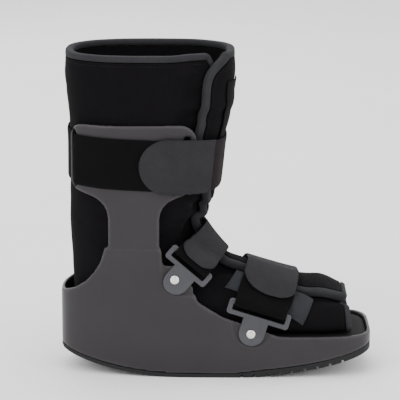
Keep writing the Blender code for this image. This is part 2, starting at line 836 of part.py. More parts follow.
def make_outsole(group, cutters, finish):
    """The rubber sole: the shell's plan between the ground line and the shell, with lugs in front."""
    ring = plan_ring(plan_values(OUTSOLE_PLAN), 0.0, 0.0)
    top = [Vector((p.x, p.y, FOOTBED_TOP)) for p in ring]
    low = [Vector((p.x, p.y, -OUTSOLE_THICKNESS)) for p in ring]
    outsole = loft("outsole", [low, top], group, finish)
    reach = 2 * SOLE_HALF_WIDTH
    upper = [(x, z) for x, z in sole_line(0.0)]
    lower = [(x, sole_bottom(x)) for x, _ in reversed(upper)]
    lower = sorted({*lower, (FLAT_REAR, 0.0), (FLAT_FRONT, 0.0)})
    prism = as_helper(side_prism("outsole_outline", upper + lower, -reach, reach, cutters))
    add_boolean(outsole, prism, "INTERSECT")
    grooves = int((along(0.5) - 2.4 * FLAT_FRONT) / LUG_PITCH)
    for index in range(grooves):
        x = 2 * FLAT_FRONT + index * LUG_PITCH
        floor = sole_bottom(x) + LUG_DEPTH
        half = LUG_GROOVE / 2
        below = floor - 2 * LUG_DEPTH
        outline = [(x - half, below), (x + half, below), (x + 0.7 * half, floor), (x - 0.7 * half, floor)]
        groove = as_helper(side_prism(f"groove_{index}", outline, -reach, reach, cutters))
        add_boolean(outsole, groove, "DIFFERENCE")
    return outsole


def make_footbed(group, cutters, finish):
    footbed = loft("footbed", shell_rings(SHELL_WALL + GAP), group, finish)
    reach = 2 * SOLE_HALF_WIDTH
    floor_line = sole_line(SHELL_FLOOR + 2 * GAP)
    outline = [(along(OUTLINE_REACH), FOOTBED_TOP), *floor_line, (along(-OUTLINE_REACH), FOOTBED_TOP)]
    prism = as_helper(side_prism("footbed_outline", outline, -reach, reach, cutters))
    add_boolean(footbed, prism, "INTERSECT")
    return footbed


# Brackets


def make_bracket(name, place, side, group, cutters, finish):
    """A flat plastic frame with a round lug, and a hole for its rivet."""
    rear, run, up, length = bracket_frame(place)
    half = ROD_WIDTH / 2
    depth = bracket_depth(place)
    low, high = sorted((side * depth, side * (depth + BRACKET_THICKNESS)))
    pivot = Vector(at_bracket(place.pivot))

    def corner(out, rise, radius):
        point = rear + run * out + up * rise
        return point.x, point.y, radius

    radius, reach = lug_radius(place), rod_reach(place)
    lug = Vector(at_bracket(place.lug)) - rear
    share, sink = lug.dot(run), lug.dot(up)
    start = corner(max(share - radius, half), -half, 0)
    outline = [start]
    sweep = [pi + (pi * i / 10) for i in range(11)]
    for angle in sweep:
        outline.append(corner(share + radius * cos(angle), sink + radius * sin(angle), 0))
    outline.append(corner(min(share + radius, length - half), -half, 0))
    outline += [
        corner(length + half, -half, ROD_CORNER_RADIUS),
        corner(length + half, reach + half, ROD_CORNER_RADIUS),
        corner(-half, reach + half, ROD_CORNER_RADIUS),
        corner(-half, -half, ROD_CORNER_RADIUS),
        start,
    ]
    bracket = side_prism(name, rounded(outline, 3)[:-1], low, high, group, finish)
    window = [
        corner(half, half, 0)[:2],
        corner(length - half, half, 0)[:2],
        corner(length - half, reach - half, 0)[:2],
        corner(half, reach - half, 0)[:2],
    ]
    opening = as_helper(side_prism(name + "_window", window, low - GAP, high + GAP, cutters))
    add_boolean(bracket, opening, "DIFFERENCE")
    hole = round_cutter(
        name + "_hole", tuple(pivot), RIVET_SHANK_RADIUS + GAP, low - GAP, high + GAP, cutters, 12
    )
    add_boolean(bracket, hole, "DIFFERENCE")
    return bracket


def make_rivet(name, place, side, group, finish):
    """A domed rivet: the head outside the bracket, the shank, and a flat head inside the wall."""
    outer = bracket_depth(place) + BRACKET_THICKNESS + GAP
    x, z = at_bracket(place.pivot)
    inner = shell_half_width(x) - SHELL_WALL - 4 * GAP
    head, shank = RIVET_HEAD_RADIUS, RIVET_SHANK_RADIUS
    profile = [
        (0.0, outer + RIVET_DOME),
        (0.55 * head, outer + 0.86 * RIVET_DOME),
        (0.88 * head, outer + 0.5 * RIVET_DOME),
        (head, outer),
        (shank, outer),
        (shank, inner),
        (0.8 * head, inner),
        (0.8 * head, inner - RIVET_BACK),
        (0.0, inner - RIVET_BACK),
    ]
    mesh = bpy.data.meshes.new(name)
    mesh.from_pydata([(r, 0, h) for r, h in profile], [(i, i + 1) for i in range(len(profile) - 1)], [])
    rivet = link(mesh, name, group, finish)
    turn = rivet.modifiers.new("Turned", "SCREW")
    turn.axis = "Z"
    turn.steps = turn.render_steps = 12
    turn.use_merge_vertices = True
    turn.merge_threshold = 0.0001
    rivet.rotation_euler = (-pi / 2 * side, 0, 0)
    rivet.location = (x, 0, z)
    return rivet


def strap_offset(angle, slot, plate_front, ramp, lift):
    """The calf strap's distance outside the liner at an angle from the front, either side."""
    turn = abs(angle)
    behind = (turn - slot) / ramp
    outside = 1 - min(1.0, max(0.0, (behind + 1) / 2))
    seated = lerp(lift, over_plate(turn), smooth_step(turn, radians(10), plate_front))
    inside = PLATE_CLEARANCE_BACK - STRAP_THICKNESS - GAP - STRAP_EASE / 2
    return lerp(inside, seated, outside)


def calf_sheet(name, angles, width, thickness, offset, group, finish, rows=3):
    grid = []
    for r in range(rows):
        fraction = r / (rows - 1)
        points = []
        for angle in angles(fraction):
            middle = calf_row(CALF_STRAP_HEIGHT)
            x = liner_point(middle, angle)[0].x
            place = strap_place(x, fraction, width)
            points.append(liner_surface(place, angle, offset(angle))[0])
        grid.append(points)
    return sheet(name, grid, thickness, group, finish)


def slot_ramp():
    """Half the angle within which the strap passes through a rear slot."""
    return 0.34 * SLOT_WIDTH / (CALF_HALF_WIDTH + SHELL_WALL + PLATE_CLEARANCE_BACK)


def make_calf_strap(group, finish):
    place = calf_row(CALF_STRAP_HEIGHT)
    slot = angle_at(place, REAR_SLOT_X)
    sewn_end = angle_at(place, along(STRAP_SEWN_END))
    near_end = angle_at(place, along(STRAP_NEAR_END))
    ramp = slot_ramp()
    passes = [slot - ramp, slot + ramp, 2 * pi - slot - ramp, 2 * pi - slot + ramp]
    breaks = [-angle for angle in (near_end, *passes, 2 * pi + sewn_end)]
    counts = (9, 1, 11, 1, 22)
    angles = [breaks[0]]
    for start, end, count in zip(breaks, breaks[1:], counts):
        angles += [lerp(start, end, (i + 1) / count) for i in range(count)]

    def offset(angle):
        turn = (angle + pi) % (2 * pi) - pi
        return strap_offset(turn, slot, sewn_end, ramp, PATCH_THICKNESS + 2 * GAP + STRAP_EASE)

    return calf_sheet("calf_strap", lambda fraction: angles, CALF_STRAP_WIDTH, STRAP_THICKNESS, offset, group, finish)


def make_calf_tab(group, finish):
    place = calf_row(CALF_STRAP_HEIGHT)
    sewn_end = angle_at(place, along(TAB_SEAM))
    radius = CALF_TAB_WIDTH / 2
    rows = 9
    grid = []
    for r in range(rows):
        rise = cos(pi * r / (rows - 1))
        fraction = (1 - rise) / 2
        tip = along(TAB_TIP) + radius * (1 - (1 - rise * rise) ** 0.5)
        start = angle_at(place, tip)
        points = []
        for c in range(9):
            angle = -lerp(sewn_end, start, c / 8)
            x = liner_point(place, angle)[0].x
            edge = strap_place(x, fraction, CALF_TAB_WIDTH)
            points.append(liner_surface(edge, angle, over_plate(angle) + STRAP_THICKNESS + 2 * GAP)[0])
        grid.append(points)
    return sheet("calf_tab", grid, TAB_THICKNESS, group, finish)


def foot_strap(name, place, first_row, free_end, group, finish):
    """The strap half from the far bracket over the foot to its fastening end on the near side. free_end
    gives the end's height over the near bracket's upper rod, at a share of the strap's width."""
    over_loop = STRAP_THICKNESS + 2 * STRAP_EASE + GAP
    grid = []
    for r in range(5):
        share = r / 4
        row = first_row + share
        far = strap_run(place, row, share, 1, 0.0, lambda part: 0.0) + full_turn(place, share, 1)
        near = strap_run(
            place, row, share, -1, 0.0, lambda part: over_loop * smooth_step(part, 0, 0.3), 11
        )
        near += wrap_points(place, share, -1, over_loop, (-60, -20))
        grid.append(list(reversed(far)) + trimmed(near[1:], place, free_end(share)))
    return sheet(name, grid, TAB_THICKNESS, group, finish)


def instep_end(share):
    """The instep strap's free end: a shallow curve that covers the upper rod."""
    return ROD_WIDTH * (0.23 + 1.36 * (2 * share - 1) ** 2)


def forefoot_end(share):
    """The forefoot strap's free end: a deep curve well above the upper rod."""
    return ROD_WIDTH * (2.84 + 2.05 * abs(2 * share - 1.1) ** 2.5)


def trimmed(points, place, end):
    """A run of as many points that ends at a height over the bracket's upper rod."""
    count = len(points)
    kept = [points[0]]
    for first, last in zip(points, points[1:]):
        high, low = height_over_rod(place, first), height_over_rod(place, last)
        if low > end:
            kept.append(last)
            continue
        kept.append(first.lerp(last, (high - end) / (high - low)))
        break
    first, last = kept[-2:]
    spare = count - len(kept) + 1
    return kept[:-1] + [first.lerp(last, (i + 1) / spare) for i in range(spare)]


def foot_loop(name, place, first_row, group, finish):
    """The strap half from the near bracket to its end under the other half."""
    grid = []
    for r in range(5):
        share = r / 4
        run = strap_run(place, first_row + share, share, -1, 0.4, lambda part: 0.0, 7)
        grid.append(run + full_turn(place, share, -1))
    return sheet(name, grid, STRAP_THICKNESS, group, finish)


def patch(name, corners, group, finish, rows=5, columns=5):
    """A thin patch on the liner, between four (place, angle in degrees) corners."""
    grid = []
    for r in range(rows):
        down = r / (rows - 1)
        points = []
        for c in range(columns):
            across = c / (columns - 1)
            top = [lerp(a, b, across) for a, b in zip(corners[0], corners[1])]
            low = [lerp(a, b, across) for a, b in zip(corners[3], corners[2])]
            place, angle = (lerp(a, b, down) for a, b in zip(top, low))
            points.append(liner_surface(place, -radians(angle), 2 * GAP)[0])
        grid.append(points)
    return sheet(name, grid, PATCH_THICKNESS, group, finish)


def main():
    for old in list(bpy.data.objects):
        bpy.data.objects.remove(old, do_unlink=True)
    boot = collection("walking_boot")
    cutters = collection("cutters")

    plastic = material("charcoal plastic", (0.075, 0.070, 0.076), 0.42)
    rubber = material("black rubber", (0.012, 0.012, 0.013), 0.75)
    foam = material("grey foam", (0.045, 0.043, 0.043), 0.85)
    lining = material("black padded cloth", (0.014, 0.013, 0.015), 0.95)
    tape = material("grey binding tape", (0.095, 0.095, 0.105), 0.85)
    pile = material("black loop pile", (0.010, 0.010, 0.011), 1.0)
    webbing = material("grey strap", (0.072, 0.070, 0.076), 0.85)
    moulded = material("bracket plastic", (0.085, 0.085, 0.095), 0.40)
    nickel = material("nickel", (0.75, 0.74, 0.72), 0.2, 1.0)

    make_shell(boot, cutters, plastic)
    make_outsole(boot, cutters, rubber)
    make_footbed(boot, cutters, foam)
    make_liner(boot, lining)
    make_binding(boot, tape)
    patch("leg_hook_strip", LEG_STRIP, boot, webbing, rows=7)
    patch("foot_hook_patch", FOOT_PATCH, boot, webbing)
    make_calf_strap(boot, pile)
    make_calf_tab(boot, webbing)
    foot_loop("instep_loop", REAR_BRACKET, INSTEP_ROW, boot, pile)
    foot_strap("instep_strap", REAR_BRACKET, INSTEP_ROW, instep_end, boot, webbing)
    foot_loop("forefoot_loop", FRONT_BRACKET, FOREFOOT_ROW, boot, pile)
    foot_strap("forefoot_strap", FRONT_BRACKET, FOREFOOT_ROW, forefoot_end, boot, webbing)
    for where, place in (("rear", REAR_BRACKET), ("front", FRONT_BRACKET)):
        for side, word in ((-1, "near"), (1, "far")):
            make_bracket(f"bracket_{where}_{word}", place, side, boot, cutters, moulded)
            make_rivet(f"rivet_{where}_{word}", place, side, boot, nickel)


main()
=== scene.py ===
"""The short walking boot in a plain studio: cloth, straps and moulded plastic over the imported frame.

The surface functions repeat the model's own sizes, so each finer piece lies where its solid is.
"""

from collections import namedtuple
from functools import lru_cache
from math import atan2, ceil, copysign, cos, exp, hypot, pi, radians, sin, tan

import bmesh
import bpy
import numpy as np
from mathutils import Matrix, Vector, noise
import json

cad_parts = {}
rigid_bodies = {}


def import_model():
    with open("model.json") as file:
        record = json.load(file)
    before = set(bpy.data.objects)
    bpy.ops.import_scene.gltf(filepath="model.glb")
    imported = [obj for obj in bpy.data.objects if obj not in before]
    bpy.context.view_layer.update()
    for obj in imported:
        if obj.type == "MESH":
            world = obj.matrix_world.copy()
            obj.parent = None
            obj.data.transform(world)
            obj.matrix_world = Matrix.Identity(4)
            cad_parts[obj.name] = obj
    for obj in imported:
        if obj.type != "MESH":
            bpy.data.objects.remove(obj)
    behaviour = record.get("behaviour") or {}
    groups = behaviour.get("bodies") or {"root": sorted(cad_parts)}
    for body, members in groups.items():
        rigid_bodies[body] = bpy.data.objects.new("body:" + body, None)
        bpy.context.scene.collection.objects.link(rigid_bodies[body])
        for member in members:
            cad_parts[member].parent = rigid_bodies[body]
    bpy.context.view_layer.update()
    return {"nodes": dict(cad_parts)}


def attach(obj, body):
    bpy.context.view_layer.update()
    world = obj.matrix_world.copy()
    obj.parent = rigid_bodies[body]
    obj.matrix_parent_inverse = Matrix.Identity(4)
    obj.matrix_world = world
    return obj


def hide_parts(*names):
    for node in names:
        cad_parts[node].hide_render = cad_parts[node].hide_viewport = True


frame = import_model()

# Overall sizes
SOLE_LENGTH = 0.292
SOLE_HALF_WIDTH = 0.054
BOOT_HEIGHT = 0.304
CALF_HALF_WIDTH = 0.056
GAP = 0.0003

# Shell and sole
SHELL_WALL = 0.0035
SHELL_FLOOR = 0.004
LEDGE_HEIGHT = 0.124
FOOTBED_TOP = 0.2984 * LEDGE_HEIGHT
PLATE_CLEARANCE_SIDE = 0.0008
PLATE_CLEARANCE_BACK = 0.0030
FLAT_REAR = -0.1027 * SOLE_LENGTH
FLAT_FRONT = 0.0411 * SOLE_LENGTH
HEEL_ROCKER_RADIUS = 1.130 * SOLE_LENGTH
TOE_ROCKER_RADIUS = 1.370 * SOLE_LENGTH
OUTSOLE_THICKNESS = 0.0036
LUG_DEPTH = 0.0022

# Liner
LINER_WALL = 0.007
BINDING_WIDTH = 0.0064
BINDING_PROUD = 0.0005
NEAR_FLAP_DROP = LINER_WALL + 2 * BINDING_PROUD + 2 * GAP

# Straps and patches
STRAP_THICKNESS = 0.0016
STRAP_EASE = 0.0006
TAB_THICKNESS = 0.0018
PATCH_THICKNESS = 0.0012
CALF_STRAP_WIDTH = 0.048
CALF_TAB_WIDTH = 0.052
CALF_STRAP_HEIGHT = 0.6694 * BOOT_HEIGHT
CALF_STRAP_SLOPE = -0.05
SLOT_WIDTH = 0.007
SLOT_HEIGHT = 1.115 * CALF_STRAP_WIDTH
REAR_SLOT_X = -0.4322 * SOLE_LENGTH
FRONT_SLOT_X = -0.0966 * SOLE_LENGTH

# Places along the boot as shares of the sole's length: the middle of the calf strap's side, its two ends
# where it is sewn, its fastening tab's round tip and seam, and how far the cutting outlines reach.
STRAP_MIDDLE = -0.205
STRAP_NEAR_END = -0.070
STRAP_SEWN_END = -0.050
TAB_TIP = -0.243
TAB_SEAM = -0.030
OUTLINE_REACH = 0.52

# Brackets and rivets
BRACKET_THICKNESS = 0.0026
POCKET_DEPTH = 0.0016
ROD_WIDTH = 0.0044
WRAP_RADIUS = 0.0029
LEAVING_HEIGHT = 0.010
ROD_CORNER_RADIUS = 0.68 * ROD_WIDTH
RIVET_HEAD_RADIUS = 0.0042
RIVET_SHANK_RADIUS = 0.0018
RIVET_DOME = 0.0017

LEG_TOP = BOOT_HEIGHT - BINDING_WIDTH
LINER_SOLE = FOOTBED_TOP + GAP
FOOT_HALF_WIDTH = SOLE_HALF_WIDTH - SHELL_WALL

# Cross-sections of the liner's outer surface, from the rim to the toe. Each lies in the upright plane
# through a front and a back point. Heights are shares of the liner's height above the footbed, x and
# widest_x shares of the sole's length. A half width is a share of the calf's half width down to the
# ankle, then of the room inside the shell. widest is where along the chord the section is widest.
# flap and near are the angles, in degrees from the front towards the near side, of the two flaps' edges.
LinerRow = namedtuple(
    "LinerRow",
    "front_x front_height back_x back_height half_width widest front_power back_power flap near",
)
LEG_ROWS = (
    LinerRow(0.0600, 1.000, -0.4780, 1.000, 1.000, 0.50, 2.6, 2.6, 22, 39),
    LinerRow(0.0615, 0.945, -0.4800, 0.945, 0.998, 0.50, 2.6, 2.6, 36, 32),
    LinerRow(0.0500, 0.862, -0.4755, 0.862, 0.988, 0.50, 2.6, 2.6, 38, 24),
    LinerRow(0.0380, 0.780, -0.4700, 0.780, 0.976, 0.50, 2.6, 2.6, 39, 21),
    LinerRow(0.0200, 0.700, -0.4660, 0.700, 0.960, 0.50, 2.6, 2.6, 38, 20),
    LinerRow(0.0030, 0.538, -0.4665, 0.540, 0.925, 0.50, 2.6, 2.6, 25, 7),
    LinerRow(-0.0154, 0.479, -0.4680, 0.450, 0.875, 0.50, 2.5, 2.4, 14, -4),
    LinerRow(-0.0342, 0.433, -0.4650, 0.310, 0.800, 0.50, 2.3, 2.1, 9, -9),
)
FOOT_ROWS = (
    LinerRow(-0.0462, 0.393, -0.4350, 0.045, 0.850, 0.52, 2.2, 2.1, 8, -10),
    LinerRow(0.0290, 0.282, -0.2700, 0.000, 0.865, 0.62, 2.1, 2.5, 9, -9),
    LinerRow(0.0980, 0.246, 0.0070, 0.000, 0.905, 0.62, 2.1, 3.0, 17, -2),
    LinerRow(0.2640, 0.190, 0.2050, 0.000, 0.930, 0.62, 2.1, 3.4, 42, 26),
    LinerRow(0.3430, 0.182, 0.3250, 0.000, 0.930, 0.64, 2.2, 3.6, 46, 29),
    LinerRow(0.4060, 0.145, 0.4170, 0.003, 0.860, 0.62, 2.3, 3.4, 40, 24),
)
INSTEP_ROW = 8
FOREFOOT_ROW = 10
LAST_ROW = len(LEG_ROWS) + len(FOOT_ROWS) - 1
COARSE_STEPS = (0, 0.3, 0.6, 1, 1.7, 2.4, 3, 4, 5, 5.7, 6.4, 7, 7.5, 8, 8.5, 9, 9.5, 10, 10.5, 11, 12, 13)

# The two patches' corners: (place, angle in degrees towards the near side)
LEG_STRIP = ((1.3, -4), (1.3, 24), (4.6, 21), (4.6, -2))
FOOT_PATCH = ((9.8, 34), (9.7, 58), (11.45, 97), (11.65, 67))

# Plans of the shell's outer wall at several heights. Lengths in x are shares of the sole's length,
# heights of the ledge's height, and half widths of the sole's half width.
ShellRow = namedtuple("ShellRow", "height rear front half_width widest rear_power front_power")
SOLE_PLAN = ShellRow(0.25, -0.5, 0.5, 1.0, 0.20, 3.2, 4.4)
OUTSOLE_PLAN = SOLE_PLAN._replace(height=-0.02, half_width=0.972)
SHELL_ROWS = (
    OUTSOLE_PLAN,
    SOLE_PLAN,
    SOLE_PLAN._replace(height=0.52),
    ShellRow(0.81, -0.5, 0.5, 0.985, 0.07, 3.0, 4.0),
    ShellRow(0.996, -0.499, 0.36, 1.010, -0.10, 2.8, 3.0),
    ShellRow(1.004, -0.499, 0.36, 0.985, -0.10, 2.8, 3.0),
)

# Upper outline of the shell from the side: x as a share of the sole's length, heights and the radii that
# round the corners as shares of the ledge's height. The plates' heights, and their levels above, are
# shares of the calf strap's width over the strap's middle.
Corner = namedtuple("Corner", "x height radius")
LOWER_REAR_EDGE = (
    Corner(-0.520, 0.600, 0),
    Corner(-0.3777, 0.706, 0.4597),
    Corner(-0.3545, 1.000, 0),
)
UPRIGHT_REAR = -0.3425
UPRIGHT_FRONT = -0.1791
PLATE_EDGE = (
    Corner(-0.3425, -0.7204, 0.1613),
    Corner(-0.4589, -0.5040, 0.0806),
    Corner(-0.4589, 0.7750, 0.1048),
    Corner(-0.0610, 0.7750, 0.1290),
    Corner(-0.0610, -0.5135, 0.0645),
    Corner(-0.1791, -0.7932, 0.1532),
)
LOWER_FRONT_EDGE = (
    Corner(-0.1743, 0.997, 0),
    Corner(-0.1690, 0.875, 0.0242),
    Corner(-0.1130, 0.875, 0.0806),
    Corner(-0.0740, 0.700, 0.0484),
    Corner(-0.0580, 0.588, 0.0645),
    Corner(0.0200, 0.475, 0.1613),
    Corner(0.1960, 0.325, 0.0806),
    Corner(0.2350, 0.3161, 0.1581),
    Corner(0.5200, 0.3161, 0),
)

# The brackets in side view. pivot is the rivet, rod_rear and rod_front are the ends of the lower rod's
# centre line, and reach is how far the upper rod lies above it. lug is the middle of the round lug that
# the rivet goes through. x is a share of the sole's length, all else of the ledge's height.
BracketPlace = namedtuple("BracketPlace", "pivot lug rod_rear rod_front reach lug_radius")
REAR_BRACKET = BracketPlace(
    (-0.1318, 0.766), (-0.1267, 0.746), (-0.1541, 0.952), (-0.0432, 0.725), 0.0850, 0.0968
)
FRONT_BRACKET = BracketPlace(
    (0.1106, 0.348), (0.1130, 0.350), (0.0400, 0.530), (0.2210, 0.395), 0.0850, 0.0968
)


def lerp(a, b, share):
    return a + (b - a) * share


def smooth_step(value, low, high):
    """0 below low, 1 above high, and smooth between."""
    share = min(1.0, max(0.0, (value - low) / (high - low)))
    return share * share * (3 - 2 * share)


def along(share):
    return share * SOLE_LENGTH


def sole_bottom(x):
    """Height of the ground side of the sole: flat in the middle, rising on an arc to heel and toe."""
    if x < FLAT_REAR:
        return HEEL_ROCKER_RADIUS - (HEEL_ROCKER_RADIUS**2 - (x - FLAT_REAR) ** 2) ** 0.5
    if x > FLAT_FRONT:
        return TOE_ROCKER_RADIUS - (TOE_ROCKER_RADIUS**2 - (x - FLAT_FRONT) ** 2) ** 0.5
    return 0.0


def outsole_top(x):
    """The sole's upper face, where the lugs of the front half add their depth."""
    return sole_bottom(x) + OUTSOLE_THICKNESS + LUG_DEPTH * smooth_step(x, FLAT_FRONT, 4 * FLAT_FRONT)


def link(mesh, name, group, finish=None):
    """An object for a mesh or curve, in a collection and with its material."""
    made = bpy.data.objects.new(name, mesh)
    group.objects.link(made)
    if finish:
        mesh.materials.append(finish)
    return made


def mesh_object(name, vertices, faces, group, finish=None, smooth=True):
    mesh = bpy.data.meshes.new(name)
    mesh.from_pydata([tuple(v) for v in vertices], [], faces)
    mesh.update()
    if smooth:
        mesh.shade_smooth()
    return link(mesh, name, group, finish)


def add_boolean(target, cutter, operation):
    change = target.modifiers.new(f"{operation.title()} {cutter.name}", "BOOLEAN")
    change.operation = operation
    change.object = cutter
    return change


def as_helper(guide):
    guide.hide_render = True
    guide.display_type = "WIRE"
    return guide


def loft(name, rings, group, finish=None):
    """A closed solid through rings of equally many points."""
    count = len(rings[0])
    vertices = [point for ring in rings for point in ring]
    faces = []
    for level in range(len(rings) - 1):
        for i in range(count):
            j = (i + 1) % count
            low, high = level * count, (level + 1) * count
            faces.append((low + i, low + j, high + j, high + i))
    faces.append(tuple(reversed(range(count))))
    faces.append(tuple(range((len(rings) - 1) * count, len(rings) * count)))
    made = mesh_object(name, vertices, faces, group, finish)
    outward(made.data)
    return made


def outward(mesh):
    """Turns all faces of a closed mesh to point out."""
    edit = bmesh.new()
    edit.from_mesh(mesh)
    bmesh.ops.recalc_face_normals(edit, faces=edit.faces)
    if edit.calc_volume(signed=True) < 0:
        bmesh.ops.reverse_faces(edit, faces=edit.faces)
    edit.to_mesh(mesh)
    edit.free()


def rounded(corners, steps=5):
    """Points of an open line through (x, z, radius) corners, each rounded by an arc."""
    points = []
    for index, (x, z, radius) in enumerate(corners):
        corner = Vector((x, z))
        if not radius or index in (0, len(corners) - 1):
            points.append((x, z))
            continue
        before = (Vector(corners[index - 1][:2]) - corner).normalized()
        after = (Vector(corners[index + 1][:2]) - corner).normalized()
        half = before.angle(after) / 2
        centre = corner + (before + after).normalized() * (radius / sin(half))
        start = corner + before * (radius / tan(half)) - centre
        sweep = start.angle_signed(corner + after * (radius / tan(half)) - centre)
        for step in range(steps + 1):
            angle = -sweep * step / steps
            turned = Matrix.Rotation(angle, 2) @ start
            points.append(tuple(centre + turned))
    return points


def side_prism(name, outline, low_y, high_y, group, finish=None):
    """A solid with its (x, z) outline seen from the side, from low_y to high_y."""
    curve = bpy.data.curves.new(name, "CURVE")
    curve.dimensions = "2D"
    curve.fill_mode = "BOTH"
    curve.extrude = (high_y - low_y) / 2
    spline = curve.splines.new("POLY")
    spline.points.add(len(outline) - 1)
    for point, (x, z) in zip(spline.points, outline):
        point.co = (x, z, 0, 1)
    spline.use_cyclic_u = True
    guide = link(curve, name + "_outline", group)
    guide.rotation_euler = (pi / 2, 0, 0)
    guide.location = (0, (low_y + high_y) / 2, 0)
    return meshed(guide, name, group, finish)


def meshed(guide, name, group, finish=None):
    """The mesh object that a curve object draws, closed and applied, in the curve's stead."""
    bpy.context.view_layer.update()
    graph = bpy.context.evaluated_depsgraph_get()
    mesh = bpy.data.meshes.new_from_object(guide.evaluated_get(graph))
    mesh.name = name
    mesh.transform(guide.matrix_world)
    edit = bmesh.new()
    edit.from_mesh(mesh)
    bmesh.ops.remove_doubles(edit, verts=edit.verts, dist=1e-6)
    edit.to_mesh(mesh)
    edit.free()
    outward(mesh)
    bpy.data.objects.remove(guide, do_unlink=True)
    mesh.materials.clear()
    return link(mesh, name, group, finish)


# Liner surface


@lru_cache(maxsize=None)
def interpolated(rows, place):
    """The values of a table at a place between its rows, on a smooth curve through them."""
    place = min(max(place, 0.0), len(rows) - 1.0)
    index = min(int(place), len(rows) - 2)
    share = place - index
    p0, p1, p2, p3 = (
        np.array(rows[min(max(index + k, 0), len(rows) - 1)], float) for k in (-1, 0, 1, 2)
    )
    values = (
        p1
        + share * (p2 - p0) / 2
        + share**2 * (p0 - 2.5 * p1 + 2 * p2 - p3 / 2)
        + share**3 * (1.5 * (p1 - p2) + (p3 - p0) / 2)
    )
    return values.tolist()


def liner_table():
    """The liner's rows in metres, in one list from the rim to the toe."""
    table = []
    for rows, width in ((LEG_ROWS, CALF_HALF_WIDTH), (FOOT_ROWS, FOOT_HALF_WIDTH)):
        for row in rows:
            lengths = (
                along(row.front_x),
                LINER_SOLE + row.front_height * (LEG_TOP - LINER_SOLE),
                along(row.back_x),
                LINER_SOLE + row.back_height * (LEG_TOP - LINER_SOLE),
                row.half_width * width,
            )
            table.append((*lengths, *row[5:]))
    return table


LINER_TABLE = tuple(liner_table())


def liner_point(place, angle):
    """A point of the liner's outer surface, and its section's centre. The angle is 0 at the front,
    a quarter turn on the far side and half a turn at the back."""
    front_x, front_z, back_x, back_z, half_width, widest, front_power, back_power, _, _ = interpolated(
        LINER_TABLE, place
    )
    back_z = max(back_z, LINER_SOLE)
    chord = hypot(back_x - front_x, back_z - front_z)
    towards_back = Vector(((back_x - front_x) / chord, 0, (back_z - front_z) / chord))
    centre = Vector((front_x, 0, front_z)) + towards_back * chord * widest
    ahead = cos(angle) > 0
    reach = chord * (widest if ahead else 1 - widest)
    power = front_power if ahead else back_power
    radius = (abs(cos(angle) / reach) ** power + abs(sin(angle) / half_width) ** power) ** (-1 / power)
    return centre + radius * (Vector((0, 1, 0)) * sin(angle) - towards_back * cos(angle)), centre


def liner_surface(place, angle, offset=0.0):
    """A point at a distance outside the liner's outer surface."""
    point, centre = liner_point(place, angle)
    step = 1e-3
    low, high = max(place - step, 0), min(place + step, LAST_ROW)
    across = liner_point(place, angle + step)[0] - liner_point(place, angle - step)[0]
    down = liner_point(high, angle)[0] - liner_point(low, angle)[0]
    normal = across.cross(down).normalized()
    if normal.dot(point - centre) < 0:
        normal.negate()
    return point + normal * offset, normal


def flap_angles(place):
    """Angles of the far flap's edge and the near flap's edge, towards the near side."""
    values = interpolated(LINER_TABLE, place)
    return radians(values[8]), radians(values[9])


def near_drop(place, angle):
    """How far the near flap lies inside the surface, so that the far flap passes over it."""
    edge = max(flap_angles(place))
    return NEAR_FLAP_DROP * (1 - smooth_step(2 * pi - angle, edge + radians(12), edge + radians(32)))


# Straps


def at_bracket(shares):
    return along(shares[0]), shares[1] * LEDGE_HEIGHT


def bracket_frame(place):
    """The lower rod's rear end, its direction, the direction up to the upper rod and its length."""
    rear = Vector(at_bracket(place.rod_rear))
    front = Vector(at_bracket(place.rod_front))
    run = (front - rear).normalized()
    return rear, run, Vector((-run.y, run.x)), (front - rear).length


def shell_half_width(x):
    """The sole wall's outer half width at x."""
    plan = SOLE_PLAN
    widest = along(plan.widest)
    if x < widest:
        reach, power = widest - along(plan.rear), plan.rear_power
    else:
        reach, power = along(plan.front) - widest, plan.front_power
    return SOLE_HALF_WIDTH * (1 - min(1, abs(x - widest) / reach) ** power) ** (1 / power)


def bracket_depth(place):
    """Distance from the boot's middle plane to the bracket's back face."""
    return shell_half_width(along(place.pivot[0])) - POCKET_DEPTH + GAP


def rod_reach(place):
    return place.reach * LEDGE_HEIGHT


def lug_radius(place):
    return place.lug_radius * LEDGE_HEIGHT


def rod_centre(place, share):
    """A point of the upper rod's centre line, in side view, at a share of the strap's width."""
    rear, run, up, length = bracket_frame(place)
    inset = ROD_WIDTH / 2 + 2 * GAP
    return rear + run * lerp(inset, length - inset, share) + up * rod_reach(place)


def height_over_rod(place, point):
    """How far a point lies above the upper rod, along the bracket's frame."""
    rear, _, up, _ = bracket_frame(place)
    return (Vector((point.x, point.z)) - rear).dot(up) - rod_reach(place)


def wrap_points(place, share, side, lift, turns):
    """Points of a strap's turn round a bracket's upper rod, from above it round its outer side to the
    inside. side is -1 on the near side and 1 on the far side."""
    centre = rod_centre(place, share)
    up = bracket_frame(place)[2]
    middle = bracket_depth(place) + BRACKET_THICKNESS / 2
    points = []
    for turn in turns:
        spot = centre - up * sin(radians(turn)) * (WRAP_RADIUS + lift)
        out = cos(radians(turn)) * (WRAP_RADIUS + lift)
        points.append(Vector((spot.x, side * (middle + out), spot.y)))
    return points


def leaving_angle(place, row, side):
    """The angle at which a strap leaves the liner for the bracket, a set height above its rod."""
    low, high = 0.0, pi / 2
    for _ in range(30):
        middle = (low + high) / 2
        if height_over_rod(place, liner_point(row, side * middle)[0]) > LEAVING_HEIGHT:
            low = middle
        else:
            high = middle
    return low


def strap_run(place, row, share, side, first, lift_of, count=7):
    """Points from the top of the foot, or a share of the way, down to where the strap leaves it."""
    leave = leaving_angle(place, row, side)
    points = []
    for i in range(count):
        part = lerp(first, 1.0, i / (count - 1))
        offset = PATCH_THICKNESS + 2 * GAP + STRAP_EASE * (1 + part) + lift_of(part)
        points.append(liner_surface(row, side * part * leave, offset)[0])
    return points


